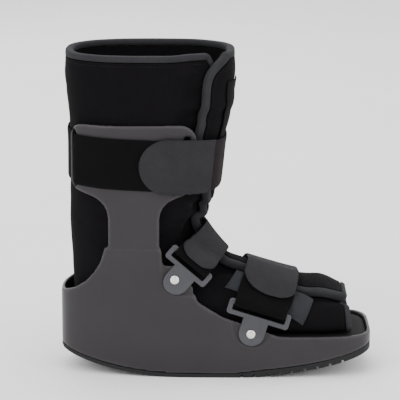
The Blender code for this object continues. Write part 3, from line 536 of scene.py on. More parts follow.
def full_turn(place, share, side):
    """A strap's end: round the upper rod and a little way back up inside."""
    points = wrap_points(place, share, side, 0.0, (-60, -20, 20, 60, 100, 140, 180))
    inside = points[-1]
    up = bracket_frame(place)[2]
    tail = Vector((inside.x + up.x * WRAP_RADIUS, inside.y, inside.z + up.y * WRAP_RADIUS))
    return points + [tail]


def calf_row(height):
    """The place of the liner's row at a height of the leg."""
    low, high = 0.0, 5.0
    for _ in range(40):
        middle = (low + high) / 2
        if interpolated(LINER_TABLE, middle)[1] > height:
            low = middle
        else:
            high = middle
    return low


def angle_at(place, x):
    """The angle, in the first half turn, at which a leg section passes x."""
    low, high = 0.0, pi
    for _ in range(40):
        middle = (low + high) / 2
        if liner_point(place, middle)[0].x > x:
            low = middle
        else:
            high = middle
    return low


def plate_clearance(angle):
    """The calf plates' distance from the liner, wider at the back where the strap passes between."""
    turn = abs((angle + pi) % (2 * pi) - pi)
    return lerp(PLATE_CLEARANCE_SIDE, PLATE_CLEARANCE_BACK, smooth_step(turn, radians(90), radians(130)))


def over_plate(angle):
    """A strap's distance from the liner where it lies on a calf plate."""
    return plate_clearance(angle) + SHELL_WALL + GAP + STRAP_EASE


def strap_height(x):
    """The calf strap's middle at x, as the strap slopes."""
    return CALF_STRAP_HEIGHT + CALF_STRAP_SLOPE * (x - along(STRAP_MIDDLE))


def strap_place(x, fraction, width):
    """The liner's place at a share of the calf strap's width, at x."""
    return calf_row(strap_height(x) + width * (0.5 - fraction))


# Shell


def plan_values(row):
    """A plan's rear, front, half width and widest place in metres, then its powers."""
    half_width = row.half_width * SOLE_HALF_WIDTH
    return (*map(along, (row.rear, row.front)), half_width, along(row.widest), *row[5:])


def plan_ring(values, height, inset, count=176):
    """A plan of the shell as a ring of points: two half superellipses that meet at the widest place."""
    rear, front, half_width, widest, rear_power, front_power = values
    ring = []
    for i in range(count):
        angle = 2 * pi * (i + 0.5) / count
        ahead = cos(angle) > 0
        reach = (front - widest if ahead else widest - rear) - inset
        power = front_power if ahead else rear_power
        x = copysign(abs(cos(angle)) ** (2 / power), cos(angle)) * reach
        y = copysign(abs(sin(angle)) ** (2 / power), sin(angle)) * (half_width - inset)
        ring.append(Vector((widest + x, y, height)))
    return ring


def plate_ring(height, inset, count=176):
    """The shell's plan at a height of the calf plates, which follow the liner."""
    row = calf_row(height)
    angles = [2 * pi * (i + 0.5) / count for i in range(count)]
    return [liner_surface(row, a, plate_clearance(a) + SHELL_WALL - inset)[0] for a in angles]


def shell_rings(inset):
    rings = []
    for row in SHELL_ROWS:
        rings.append(plan_ring(plan_values(row), row.height * LEDGE_HEIGHT, inset))
    for height in map(plate_height, PLATE_LEVELS):
        ring = plate_ring(height, inset)
        rings.append([Vector((p.x, p.y, height)) for p in ring])
    return rings


def sole_line(rise, count=34):
    """Points along the sole's upper face, raised, from the toe back to the heel."""
    shares = [lerp(OUTLINE_REACH, -OUTLINE_REACH, i / count) for i in range(count + 1)]
    return [(along(share), outsole_top(along(share)) + rise) for share in shares]


def plate_height(share):
    """A height on the calf plates, from a share of the calf strap's width over its middle."""
    return CALF_STRAP_HEIGHT + share * CALF_STRAP_WIDTH


def shell_outline():
    """The shell's outline from the side, as (x, z) points."""
    edge = [(along(c.x), c.height * LEDGE_HEIGHT, c.radius * LEDGE_HEIGHT) for c in LOWER_REAR_EDGE]
    foot = 1.006 * LEDGE_HEIGHT
    edge.append((along(UPRIGHT_REAR), foot, 0))
    edge += [(along(c.x), plate_height(c.height), c.radius * LEDGE_HEIGHT) for c in PLATE_EDGE]
    edge.append((along(UPRIGHT_FRONT), foot, 0))
    edge += [(along(c.x), c.height * LEDGE_HEIGHT, c.radius * LEDGE_HEIGHT) for c in LOWER_FRONT_EDGE]
    return rounded(edge) + sole_line(GAP)


def slot_cutter(name, x, side, group):
    """A cutter for one of the slots, square to the plate there."""
    place = calf_row(CALF_STRAP_HEIGHT)
    angle = side * angle_at(place, x)
    point, normal = liner_surface(place, angle, plate_clearance(angle) + SHELL_WALL / 2)
    bpy.ops.mesh.primitive_cube_add(size=1)
    made = bpy.context.object
    made.name = name
    made.scale = (SLOT_WIDTH, 6 * SHELL_WALL, SLOT_HEIGHT)
    made.rotation_euler = (0, 0, atan2(normal.y, normal.x) - pi / 2)
    made.location = (point.x, point.y, strap_height(x) + 3 * GAP)
    bpy.ops.object.transform_apply(location=True, rotation=True, scale=True)
    for owner in list(made.users_collection):
        owner.objects.unlink(made)
    group.objects.link(made)
    return as_helper(made)


def round_cutter(name, centre, radius, low_y, high_y, group, sides=24):
    """A round cutter across Y."""
    outline = [
        (centre[0] + radius * cos(2 * pi * i / sides), centre[1] + radius * sin(2 * pi * i / sides))
        for i in range(sides)
    ]
    return as_helper(side_prism(name, outline, low_y, high_y, group))


def make_shell(group, cutters, finish):
    shell = loft("shell", shell_rings(0.0), group, finish)
    reach = 2 * SOLE_HALF_WIDTH
    outline = as_helper(side_prism("shell_outline", shell_outline(), -reach, reach, cutters))
    cavity = as_helper(loft("shell_cavity", cavity_rings(), cutters))
    floor_line = sole_line(SHELL_FLOOR + GAP)
    room = [(along(OUTLINE_REACH), BOOT_HEIGHT), *floor_line, (along(-OUTLINE_REACH), BOOT_HEIGHT)]
    above_floor = as_helper(side_prism("above_floor", room, -reach, reach, cutters))
    add_boolean(cavity, above_floor, "INTERSECT")
    add_boolean(shell, cavity, "DIFFERENCE")
    for side, word in ((-1, "near"), (1, "far")):
        for where, x in (("rear", REAR_SLOT_X), ("front", FRONT_SLOT_X)):
            add_boolean(shell, slot_cutter(f"slot_{where}_{word}", x, side, cutters), "DIFFERENCE")
        for where, place in (("rear", REAR_BRACKET), ("front", FRONT_BRACKET)):
            depth = bracket_depth(place) - GAP
            low, high = sorted((side * depth, side * reach))
            recess = pocket_outline(where, place)
            pocket = as_helper(side_prism(f"pocket_{where}_{word}", recess, low, high, cutters))
            add_boolean(shell, pocket, "DIFFERENCE")
            low, high = sorted((0.0, side * reach))
            centre = at_bracket(place.pivot)
            hole = round_cutter(
                f"rivet_hole_{where}_{word}", centre, RIVET_SHANK_RADIUS + GAP, low, high, cutters, 12
            )
            add_boolean(shell, hole, "DIFFERENCE")
    add_boolean(shell, outline, "INTERSECT")
    return shell


def cavity_rings():
    """The inside of the shell, carried past the top so that the shell is open there."""
    rings = shell_rings(SHELL_WALL)
    top = [point + Vector((0, 0, 6 * SHELL_WALL)) for point in rings[-1]]
    return rings + [top]


def pocket_outline(where, place):
    """The recess in the shell's wall in which a bracket turns."""
    if where == "front":
        x, z = at_bracket(place.pivot)
        radius = 1.55 * lug_radius(place)
        return [
            (x + radius * (0.11 + cos(2 * pi * i / 28)), z + radius * (0.32 + sin(2 * pi * i / 28)))
            for i in range(28)
        ]
    left, floor = at_bracket(place.lug)[0] - 1.083 * lug_radius(place), 0.643 * LEDGE_HEIGHT
    corners = (
        (0.0, LEDGE_HEIGHT, 0),
        (left, LEDGE_HEIGHT, 0),
        (left, floor, 1.12 * lug_radius(place)),
        (0.0, floor, 0),
    )
    return rounded(corners)


# Brackets


def strap_offset(angle, slot, plate_front, ramp, lift):
    """The calf strap's distance outside the liner at an angle from the front, either side."""
    turn = abs(angle)
    behind = (turn - slot) / ramp
    outside = 1 - min(1.0, max(0.0, (behind + 1) / 2))
    seated = lerp(lift, over_plate(turn), smooth_step(turn, radians(10), plate_front))
    inside = PLATE_CLEARANCE_BACK - STRAP_THICKNESS - GAP - STRAP_EASE / 2
    return lerp(inside, seated, outside)


def instep_end(share):
    """The instep strap's free end: a shallow curve that covers the upper rod."""
    return ROD_WIDTH * (0.23 + 1.36 * (2 * share - 1) ** 2)


def forefoot_end(share):
    """The forefoot strap's free end: a deep curve well above the upper rod."""
    return ROD_WIDTH * (2.84 + 2.05 * abs(2 * share - 1.1) ** 2.5)


def trimmed(points, place, end):
    """A run of as many points that ends at a height over the bracket's upper rod."""
    count = len(points)
    kept = [points[0]]
    for first, last in zip(points, points[1:]):
        high, low = height_over_rod(place, first), height_over_rod(place, last)
        if low > end:
            kept.append(last)
            continue
        kept.append(first.lerp(last, (high - end) / (high - low)))
        break
    first, last = kept[-2:]
    spare = count - len(kept) + 1
    return kept[:-1] + [first.lerp(last, (i + 1) / spare) for i in range(spare)]


# Finer steps for what is drawn
LINER_STEPS = tuple(
    lerp(first, last, i / 8)
    for first, last in zip(COARSE_STEPS, COARSE_STEPS[1:])
    for i in range(8)
) + (COARSE_STEPS[-1],)
PLATE_LEVELS = tuple(-0.802 + 0.10417 * i for i in range(17))
GROUP = bpy.context.scene.collection

# Half the angle in which the calf strap passes a rear slot, and the height that it presses in
STRAP_PASS_ANGLE = 0.0024 / 0.062
STRAP_BAND_HEIGHT = 0.2035


def liner_angles(place):
    flap, near = flap_angles(place)
    turning = 2 * pi - max(flap, near) - radians(34)
    wide = [lerp(-flap, turning, i / 120) for i in range(120)]
    fine = [lerp(turning, 2 * pi - near, i / 36) for i in range(37)]
    return wide + fine


def hump(value, middle, width):
    return exp(-(((value - middle) / width) ** 2))


def fold(place, angle, point):
    """How far the liner's cloth stands out at a point, in folds, dents and soft unevenness."""
    turn = abs((angle + pi) % (2 * pi) - pi)
    z = point.z
    front = 1 - smooth_step(turn, radians(45), radians(80))
    out = 0.0007 * noise.noise(point * 38) + 0.0004 * noise.noise(point * 90)
    if place < 8.2:
        out += front * (0.0017 * hump(z, 0.2555, 0.0055) - 0.0011 * hump(z, 0.2465, 0.0050))
        out += front * (0.0024 * hump(z, 0.1520, 0.0042) - 0.0014 * hump(z, 0.1595, 0.0032))
        out += front * (0.0010 * hump(z, 0.1655, 0.0028) - 0.0010 * hump(z, 0.1445, 0.0030))
        side = smooth_step(turn, radians(25), radians(60))
        side *= 1 - smooth_step(turn, radians(120), radians(150))
        ankle = smooth_step(place, 5.0, 6.2) * (1 - smooth_step(place, 7.6, 8.2))
        out += 0.0011 * side * ankle * sin(2 * pi * (place * 1.15 + turn * 0.35))
    strap = 1 - smooth_step(abs(z - STRAP_BAND_HEIGHT), 0.024, 0.034)
    if place < 5:
        out -= 0.0008 * strap * front
    return out


def wall_point(place, angle, depth=0.0):
    drop = near_drop(place, angle) if angle > pi else 0.0
    point, normal = liner_surface(place, angle, -drop - depth)
    return point + normal * fold(place, angle, point), normal


# Materials


def node(tree, kind, inputs=None, **settings):
    made = tree.nodes.new(kind)
    for key, value in settings.items():
        setattr(made, key, value)
    for key, value in (inputs or {}).items():
        socket = made.inputs[key]
        if isinstance(value, bpy.types.NodeSocket):
            tree.links.new(value, socket)
        else:
            socket.default_value = value
    return made


def maths(tree, operation, a, b=0.0):
    return node(tree, "ShaderNodeMath", {0: a, 1: b}, operation=operation).outputs[0]


def blank(name):
    made = bpy.data.materials.new(name)
    made.use_nodes = True
    return made, made.node_tree, made.node_tree.nodes["Principled BSDF"]


def tint(colour, factor):
    return (*(min(1.0, c * factor) for c in colour), 1.0)


def object_noise(tree, scale, detail=3.0, roughness=0.6):
    place = node(tree, "ShaderNodeTexCoord").outputs["Object"]
    made = node(
        tree,
        "ShaderNodeTexNoise",
        {"Vector": place, "Scale": scale, "Detail": detail, "Roughness": roughness},
    )
    return made.outputs["Fac"]


def ramp(tree, factor, low, high, low_colour, high_colour):
    made = node(tree, "ShaderNodeValToRGB", {"Fac": factor})
    made.color_ramp.elements[0].position = low
    made.color_ramp.elements[0].color = low_colour
    made.color_ramp.elements[1].position = high
    made.color_ramp.elements[1].color = high_colour
    return made.outputs["Color"]


def times(tree, first, second):
    made = node(tree, "ShaderNodeMix", data_type="RGBA", blend_type="MULTIPLY")
    made.inputs["Factor"].default_value = 1.0
    tree.links.new(first, made.inputs["A"])
    tree.links.new(second, made.inputs["B"])
    return made.outputs["Result"]


def waves(tree, kind, pitch):
    """The height of a woven surface, from 0 to 1, on the sheet's own coordinates in metres."""
    place = node(tree, "ShaderNodeSeparateXYZ", {0: node(tree, "ShaderNodeUVMap").outputs[0]})
    along_u = maths(tree, "MULTIPLY", place.outputs[0], 2 * pi / pitch)
    across_v = maths(tree, "MULTIPLY", place.outputs[1], 2 * pi / pitch)
    if kind == "rib":
        return maths(tree, "ADD", maths(tree, "MULTIPLY", maths(tree, "SINE", along_u), 0.5), 0.5)
    first = maths(tree, "ABSOLUTE", maths(tree, "SINE", maths(tree, "MULTIPLY", along_u, 0.5)))
    second = maths(tree, "ABSOLUTE", maths(tree, "SINE", maths(tree, "MULTIPLY", across_v, 0.5)))
    if kind == "grid":
        return maths(tree, "MINIMUM", first, second)
    return maths(tree, "MULTIPLY", first, second)


def cloth(name, colour, kind, pitch, relief, roughness=0.9, sheen=0.25, contrast=0.35, mottle=0.2):
    """Woven cloth: grid, plain or rib weave, or pile and knit made of noise alone."""
    made, tree, shader = blank(name)
    if kind in ("pile", "knit"):
        height = object_noise(tree, 1 / pitch, 3.0, 0.65)
    else:
        height = waves(tree, kind, pitch)
        fibres = object_noise(tree, 2600.0, 2.0)
        height = maths(tree, "ADD", height, maths(tree, "MULTIPLY", fibres, 0.35))
    low, high = tint(colour, 1 - contrast), tint(colour, 1 + contrast)
    base = ramp(tree, height, 0.25, 0.9, low, high)
    patches = ramp(
        tree, object_noise(tree, 55.0), 0.3, 0.75, tint((1, 1, 1), 1 - mottle), (1.0, 1.0, 1.0, 1.0)
    )
    tree.links.new(times(tree, base, patches), shader.inputs["Base Color"])
    shader.inputs["Roughness"].default_value = roughness
    shader.inputs["Sheen Weight"].default_value = sheen
    shader.inputs["Sheen Roughness"].default_value = 0.5
    shader.inputs["Sheen Tint"].default_value = tint(colour, 3.0)
    shader.inputs["Specular IOR Level"].default_value = 0.08
    bump = node(tree, "ShaderNodeBump", {"Height": height, "Strength": 0.8, "Distance": relief})
    tree.links.new(bump.outputs[0], shader.inputs["Normal"])
    return made


def moulded_plastic(name, colour, roughness=0.4, grain=0.00012, wear_and_highlight=1.9, specular=0.22):
    """Moulded plastic: a fine spark-eroded grain, slight unevenness, and sharp edges painted lighter, as
    rubbed wear together with a painted highlight.
    """
    made, tree, shader = blank(name)
    fine = object_noise(tree, 1500.0, 2.0)
    broad = object_noise(tree, 22.0, 4.0)
    edges = node(tree, "ShaderNodeNewGeometry").outputs["Pointiness"]
    body = ramp(tree, broad, 0.3, 0.7, tint(colour, 0.92), tint(colour, 1.08))
    # Painted highlight, with rubbed wear: the colour is lightened where the surface is pointy, along the
    # moulded edges.
    rubbed_and_highlit_edges = ramp(tree, edges, 0.505, 0.56, (1.0, 1.0, 1.0, 1.0), (wear_and_highlight, wear_and_highlight, wear_and_highlight, 1.0))
    specks = ramp(tree, fine, 0.35, 0.7, (0.94, 0.94, 0.94, 1.0), (1.05, 1.05, 1.05, 1.0))
    tree.links.new(times(tree, times(tree, body, specks), rubbed_and_highlit_edges), shader.inputs["Base Color"])
    rough = node(
        tree, "ShaderNodeMapRange", {"Value": broad, 3: roughness - 0.05, 4: roughness + 0.07}
    )
    tree.links.new(rough.outputs[0], shader.inputs["Roughness"])
    shader.inputs["Specular IOR Level"].default_value = specular
    bump = node(tree, "ShaderNodeBump", {"Height": fine, "Strength": 0.35, "Distance": grain})
    tree.links.new(bump.outputs[0], shader.inputs["Normal"])
    return made


def bright_metal(name, colour):
    made, tree, shader = blank(name)
    fine = object_noise(tree, 900.0, 3.0)
    tone = ramp(tree, fine, 0.3, 0.7, tint(colour, 0.85), tint(colour, 1.05))
    tree.links.new(tone, shader.inputs["Base Color"])
    shader.inputs["Metallic"].default_value = 1.0
    rough = node(tree, "ShaderNodeMapRange", {"Value": fine, 3: 0.16, 4: 0.34})
    tree.links.new(rough.outputs[0], shader.inputs["Roughness"])
    return made


def foam(name, colour):
    made, tree, shader = blank(name)
    cells = object_noise(tree, 1300.0, 4.0)
    tone = ramp(tree, cells, 0.35, 0.7, tint(colour, 0.8), tint(colour, 1.2))
    tree.links.new(tone, shader.inputs["Base Color"])
    shader.inputs["Roughness"].default_value = 0.9
    shader.inputs["Specular IOR Level"].default_value = 0.2
    bump = node(tree, "ShaderNodeBump", {"Height": cells, "Strength": 0.6, "Distance": 0.0003})
    tree.links.new(bump.outputs[0], shader.inputs["Normal"])
    return made


SHELL_FINISH = moulded_plastic("shell plastic", (0.024, 0.0215, 0.0235))
BRACKET_FINISH = moulded_plastic("bracket plastic", (0.040, 0.040, 0.045), 0.34)
SOLE_FINISH = moulded_plastic("sole rubber", (0.006, 0.006, 0.0065), 0.7, 0.0003, 1.2, 0.3)
BED_FINISH = foam("bed foam", (0.016, 0.0155, 0.0155))
METAL_FINISH = bright_metal("rivet nickel", (0.78, 0.77, 0.74))
LINER_FINISH = cloth("liner cloth", (0.0046, 0.0040, 0.0048), "knit", 0.0009, 0.00025, 0.95, 0.10)
TAPE_FINISH = cloth("binding grosgrain", (0.026, 0.026, 0.029), "rib", 0.0011, 0.00025, 0.85, 0.2, 0.25)
PILE_FINISH = cloth("strap pile", (0.0038, 0.0036, 0.0040), "pile", 0.0007, 0.0005, 1.0, 0.15)
# Painted shading: a lighter brownish tone for the calf strap's front part, standing for the different light
# it takes where it turns toward the front.
FRONT_STRAP_PAINTED_SHADING = cloth("front strap painted shading", (0.017, 0.0135, 0.015), "pile", 0.0008, 0.0003, 0.95, 0.2)
TAB_FINISH = cloth("strap grid weave", (0.024, 0.0235, 0.026), "grid", 0.0016, 0.0003, 0.8, 0.2, 0.3)
PATCH_FINISH = cloth("hook patch", (0.027, 0.029, 0.032), "grid", 0.0014, 0.0004, 0.7, 0.1, 0.3)
STRIP_FINISH = cloth("front strip", (0.0075, 0.0068, 0.0080), "knit", 0.0009, 0.00025, 0.95, 0.15)
THREAD_FINISH = cloth("thread", (0.012, 0.0115, 0.013), "pile", 0.0004, 0.0001, 0.8, 0.2)


# Mesh helpers


def finish_piece(made, slot, *nodes):
    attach(made, "root")
    if nodes:
        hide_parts(*nodes)
    return made


def array_mesh(name, points, faces, finish, uv=None):
    mesh = bpy.data.meshes.new(name)
    mesh.from_pydata([tuple(p) for p in points], [], faces)
    mesh.update()
    if uv is not None:
        layer = mesh.uv_layers.new(name="UVMap")
        index = np.empty(len(mesh.loops), np.int32)
        mesh.loops.foreach_get("vertex_index", index)
        layer.data.foreach_set("uv", np.asarray(uv, np.float32)[index].ravel())
    mesh.materials.append(finish)
    outward(mesh)
    mesh.shade_smooth()
    made = bpy.data.objects.new(name, mesh)
    GROUP.objects.link(made)
    return made


def samples(points, count):
    """A smooth curve through points, at evenly spaced places along it."""
    points = np.asarray(points, float)
    gaps = np.maximum(np.linalg.norm(np.diff(points, axis=0), axis=1), 1e-7)
    places = np.concatenate([[0], np.cumsum(gaps)])
    slopes = np.diff(points, axis=0) / gaps[:, None]
    tangents = np.empty_like(points)
    tangents[0], tangents[-1] = slopes[0], slopes[-1]
    before, after = gaps[:-1, None], gaps[1:, None]
    tangents[1:-1] = (slopes[:-1] * after + slopes[1:] * before) / (before + after)
    wanted = np.linspace(0, places[-1], count)
    index = np.clip(np.searchsorted(places, wanted) - 1, 0, len(gaps) - 1)
    width = gaps[index][:, None]
    t = ((wanted - places[index])[:, None]) / width
    return (
        points[index] * (1 + 2 * t) * (1 - t) ** 2
        + tangents[index] * width * t * (1 - t) ** 2
        + points[index + 1] * t**2 * (3 - 2 * t)
        + tangents[index + 1] * width * t**2 * (t - 1)
    )


def refined(grid, rows, columns):
    wide = np.array([samples(row, columns) for row in grid])
    return np.stack([samples(wide[:, c], rows) for c in range(columns)], axis=1)


def grid_normals(points):
    across = np.gradient(points, axis=1)
    down = np.gradient(points, axis=0)
    normals = np.cross(across, down)
    return normals / np.maximum(np.linalg.norm(normals, axis=2, keepdims=True), 1e-12)


def walls(outer, inner):
    """Points and faces of a closed wall between two grids of points."""
    rows, columns = outer.shape[:2]
    base = rows * columns
    index = np.arange(base).reshape(rows, columns)
    a, b, c, d = index[:-1, :-1], index[:-1, 1:], index[1:, 1:], index[1:, :-1]
    faces = np.stack([a, b, c, d], -1).reshape(-1, 4).tolist()
    faces += (base + np.stack([a, d, c, b], -1).reshape(-1, 4)).tolist()
    border = np.concatenate([index[0, :-1], index[:-1, -1], index[-1, :0:-1], index[:0:-1, 0]])
    after = np.roll(border, -1)
    faces += np.stack([border, base + border, base + after, after], -1).tolist()
    points = np.concatenate([outer.reshape(-1, 3), inner.reshape(-1, 3)])
    return points, faces


def sheet_uv(points):
    """Distances in metres along and across a grid of points."""
    across = np.linalg.norm(np.diff(points, axis=1), axis=2)
    down = np.linalg.norm(np.diff(points, axis=0), axis=2)
    u = np.concatenate([np.zeros((len(points), 1)), np.cumsum(across, axis=1)], axis=1)
    v = np.concatenate([np.zeros((1, points.shape[1])), np.cumsum(down, axis=0)], axis=0)
    return np.stack([u, v], -1).reshape(-1, 2)


def soft_sheet(name, grid, rows, columns, thickness, finish, edge=0.0011, ripple=0.0):
    """A strap or patch: a sheet with rounded edges over a grid of points."""
    base = refined(grid, rows, columns)
    normals = grid_normals(base)
    flat = sheet_uv(base).reshape(rows, columns, 2)
    u, v = flat[..., 0], flat[..., 1]
    rim = np.minimum.reduce([u, u[:, -1:] - u, v, v[-1:] - v])
    full = np.sqrt(np.clip(1 - (1 - np.clip(rim / edge, 0, 1)) ** 2, 0, 1))
    swell = ripple * np.sin(u * 2 * pi / 0.023 + v * 60) * np.sin(v / np.maximum(v[-1:], 1e-6) * pi)
    middle = thickness / 2
    outer = base + normals * (middle + (middle * (0.25 + 0.75 * full) + swell * full))[..., None]
    inner = base + normals * (middle - middle * (0.25 + 0.75 * full))[..., None]
    points, faces = walls(outer, inner)
    uv = np.concatenate([flat.reshape(-1, 2)] * 2)
    return array_mesh(name, points, faces, finish, uv)


# A stitch's cross-sections: place along it, width and height as shares of the thread's radius
STITCH_SECTIONS = ((0, 0.35, -0.4), (0.2, 0.9, 0.3), (0.5, 1.0, 0.6), (0.8, 0.9, 0.3), (1, 0.35, -0.4))


def stitches(name, path, normals, pitch, length, radius, sides=6):
    """A row of short raised threads along a path."""
    points, faces = [], []
    steps = np.linalg.norm(np.diff(path, axis=0), axis=1)
    places = np.concatenate([[0], np.cumsum(steps)])
    for centre in np.arange(pitch / 2, places[-1] - pitch / 2, pitch):
        ends = [
            np.array([np.interp(centre + k * length / 2, places, path[:, j]) for j in range(3)])
            for k in (-1, 1)
        ]
        up = np.array([np.interp(centre, places, normals[:, j]) for j in range(3)])
        run = ends[1] - ends[0]
        size = np.linalg.norm(run)
        if size < length / 3:
            continue
        run /= size
        side = np.cross(run, up)
        side /= np.linalg.norm(side)
        up = np.cross(side, run)
        first = len(points)
        for along_it, wide, lift in STITCH_SECTIONS:
            middle = ends[0] + run * size * along_it + up * radius * lift
            for k in range(sides):
                turn = 2 * pi * k / sides
                points.append(middle + radius * wide * (side * cos(turn) + up * sin(turn)))
        for ring in range(4):
            for k in range(sides):
                a = first + ring * sides + k
                b = first + ring * sides + (k + 1) % sides
                faces.append((a, b, b + sides, a + sides))
        faces.append(tuple(first + k for k in reversed(range(sides))))
        faces.append(tuple(first + 4 * sides + k for k in range(sides)))
    made = array_mesh(name, points, faces, THREAD_FINISH)
    return made


def remeshed(name, source, voxel, smoothing, finish):
    """A copy of a solid with its edges softened."""
    bpy.context.view_layer.update()
    graph = bpy.context.evaluated_depsgraph_get()
    mesh = bpy.data.meshes.new_from_object(source.evaluated_get(graph))
    mesh.transform(source.matrix_world)
    mesh.name = name
    mesh.materials.clear()
    mesh.materials.append(finish)
    made = bpy.data.objects.new(name, mesh)
    GROUP.objects.link(made)
    change = made.modifiers.new("Remesh", "REMESH")
    change.mode = "VOXEL"
    change.voxel_size = voxel
    change.use_smooth_shade = True
    soften = made.modifiers.new("Smooth", "SMOOTH")
    soften.factor = 0.5
    soften.iterations = smoothing
    return applied(made)


def applied(made):
    bpy.context.view_layer.update()
    graph = bpy.context.evaluated_depsgraph_get()
    mesh = bpy.data.meshes.new_from_object(made.evaluated_get(graph))
    made.modifiers.clear()
    made.data = mesh
    return made


# Shell, bed and sole


def draw_shell():
    before = set(bpy.data.objects)
    shell = make_shell(GROUP, GROUP, SHELL_FINISH)
    made = remeshed("shell_visual", shell, 0.00145, 3, SHELL_FINISH)
    for extra in set(bpy.data.objects) - before - {made}:
        bpy.data.objects.remove(extra, do_unlink=True)
    finish_piece(made, "shell_plastic", "shell")
    return made


def draw_bed():
    made = remeshed("footbed_visual", frame["nodes"]["footbed"], 0.0022, 3, BED_FINISH)
    finish_piece(made, "bed_foam", "footbed")


# Liner


def draw_liner():
    outer, inner = (
        np.array(
            [[wall_point(place, angle, depth)[0] for angle in liner_angles(place)] for place in LINER_STEPS]
        )
        for depth in (0.0, LINER_WALL)
    )
    points, faces = walls(outer, inner)
    flat = sheet_uv(outer)
    made = array_mesh("liner_visual", points, faces, LINER_FINISH, np.concatenate([flat, flat]))
    finish_piece(made, "padded_cloth", "liner")


def edge_path():
    """The liner's whole edge as (middle, normal, edge direction) rings, corners turned in small steps."""
    toe, rim = LINER_STEPS[-1], LINER_STEPS[0]
    near_steps = [step for step in LINER_STEPS if LINER_STEPS[-9] <= step < toe]
    path = [(step, 2 * pi - flap_angles(step)[1], "near") for step in near_steps]
    path += [(toe, angle, "toe") for angle in reversed(liner_angles(toe))]
    path += [(step, -flap_angles(step)[0], "flap") for step in reversed(LINER_STEPS[:-1])]
    path += [(rim, angle, "rim") for angle in liner_angles(rim)[1:]]
    path += [(step, 2 * pi - flap_angles(step)[1], "near") for step in LINER_STEPS[1:] if step <= 1.0]
    spots = [wall_point(place, angle, LINER_WALL / 2) for place, angle, _ in path]
    rings = []
    for index, (middle, normal) in enumerate(spots):
        before = spots[max(index - 1, 0)][0]
        after = spots[min(index + 1, len(spots) - 1)][0]
        first = normal.cross(middle - before) if index else normal.cross(after - middle)
        last = normal.cross(after - middle) if index < len(spots) - 1 else first
        first, last = first.normalized(), last.normalized()
        turning = first.angle(last) > radians(30)
        for share in np.linspace(0, 1, 9 if turning else 1) if turning else (0.5,):
            rings.append((middle, normal, first.slerp(last, float(share)), path[index][2]))
    return rings


def draw_binding():
    rings = edge_path()
    half = LINER_WALL / 2 + BINDING_PROUD
    profile = [(3 * GAP, -half), (3 * GAP, 0.0), (3 * GAP, half)]
    for k in range(13):
        turn = pi / 2 - pi * k / 12
        bulge = abs(cos(turn)) ** 0.75
        out = 0.45 * BINDING_WIDTH
        if 0 < k < 12:
            out = 3 * GAP + (BINDING_WIDTH - 3 * GAP) * (0.45 + 0.55 * bulge)
        profile.append((out, half * copysign(abs(sin(turn)) ** 0.7, sin(turn))))
    points, length, uv = [], 0.0, []
    previous = None
    for middle, normal, edge, _ in rings:
        ring = [middle + edge * out + normal * up for out, up in profile]
        if previous is not None:
            length += (ring[9] - previous).length
        previous = ring[9]
        points += ring
        uv += [(length, k * 0.0014) for k in range(len(profile))]
    count = len(profile)
    faces = []
    for level in range(len(rings) - 1):
        for i in range(count):
            j = (i + 1) % count
            low, high = level * count, (level + 1) * count
            faces.append((low + i, low + j, high + j, high + i))
    faces.append(tuple(range(count)))
    faces.append(tuple(len(points) - count + k for k in reversed(range(count))))
    made = array_mesh("edge_binding_visual", points, faces, TAPE_FINISH, uv)
    finish_piece(made, "binding_tape", "edge_binding")
    for kind, depth in (("rim", -0.0030), ("flap", -0.0026), ("toe", -0.0028)):
        runs = [(m, n, e) for m, n, e, k in rings if k == kind][4:-4]
        path = np.array([m + e * depth + n * (LINER_WALL / 2) for m, n, e in runs])
        normals = np.array([n for _, n, _ in runs])
        seam = stitches(f"seam_{kind}", path, normals, 0.0034, 0.0026, 0.00028)
        finish_piece(seam, "padded_cloth")


# Straps


def draw_calf_strap():
    place = calf_row(CALF_STRAP_HEIGHT)
    slot = angle_at(place, REAR_SLOT_X)
    sewn_end = angle_at(place, along(STRAP_SEWN_END))
    near_end = angle_at(place, along(STRAP_NEAR_END))
    ramp = STRAP_PASS_ANGLE
    front_lift = PATCH_THICKNESS + 2 * GAP + STRAP_EASE
    angles = [-lerp(near_end, 2 * pi + sewn_end, i / 330) for i in range(331)]
    rows = 21
    grid = []
    for r in range(rows):
        fraction = r / (rows - 1)
        points = []
        for angle in angles:
            turn = (angle + pi) % (2 * pi) - pi
            x = liner_point(place, angle)[0].x
            edge = strap_place(x, fraction, CALF_STRAP_WIDTH)
            lift = strap_offset(turn, slot, sewn_end, ramp, front_lift)
            points.append(liner_surface(edge, angle, lift)[0])
        grid.append(points)
    made = soft_sheet("calf_strap_visual", grid, rows, 330, STRAP_THICKNESS, PILE_FINISH, 0.0010, 0.0002)
    # Painted shading: the strap's faces at the front of the boot get the front part's own tone instead of the
    # pile colour.
    made.data.materials.append(FRONT_STRAP_PAINTED_SHADING)
    for face in made.data.polygons:
        if face.center.x > along(-0.045):
            face.material_index = 1
    finish_piece(made, "loop_pile", "calf_strap")


def draw_calf_tab():
    place = calf_row(CALF_STRAP_HEIGHT)
    sewn_end = angle_at(place, along(TAB_SEAM))
    radius = CALF_TAB_WIDTH / 2
    rows = 25
    grid = []
    for r in range(rows):
        rise = cos(pi * r / (rows - 1))
        fraction = (1 - rise) / 2
        tip = along(TAB_TIP) + radius * (1 - (1 - rise * rise) ** 0.5)
        start = angle_at(place, tip)
        points = []
        for c in range(25):
            angle = -lerp(sewn_end, start, c / 24)
            x = liner_point(place, angle)[0].x
            edge = strap_place(x, fraction, CALF_TAB_WIDTH)
            lift = over_plate(angle) + STRAP_THICKNESS + 2 * GAP
            points.append(liner_surface(edge, angle, lift)[0])
        grid.append(points)
    made = soft_sheet("calf_tab_visual", grid, 61, 90, TAB_THICKNESS, TAB_FINISH, 0.0010)
    finish_piece(made, "grey_strap", "calf_tab")


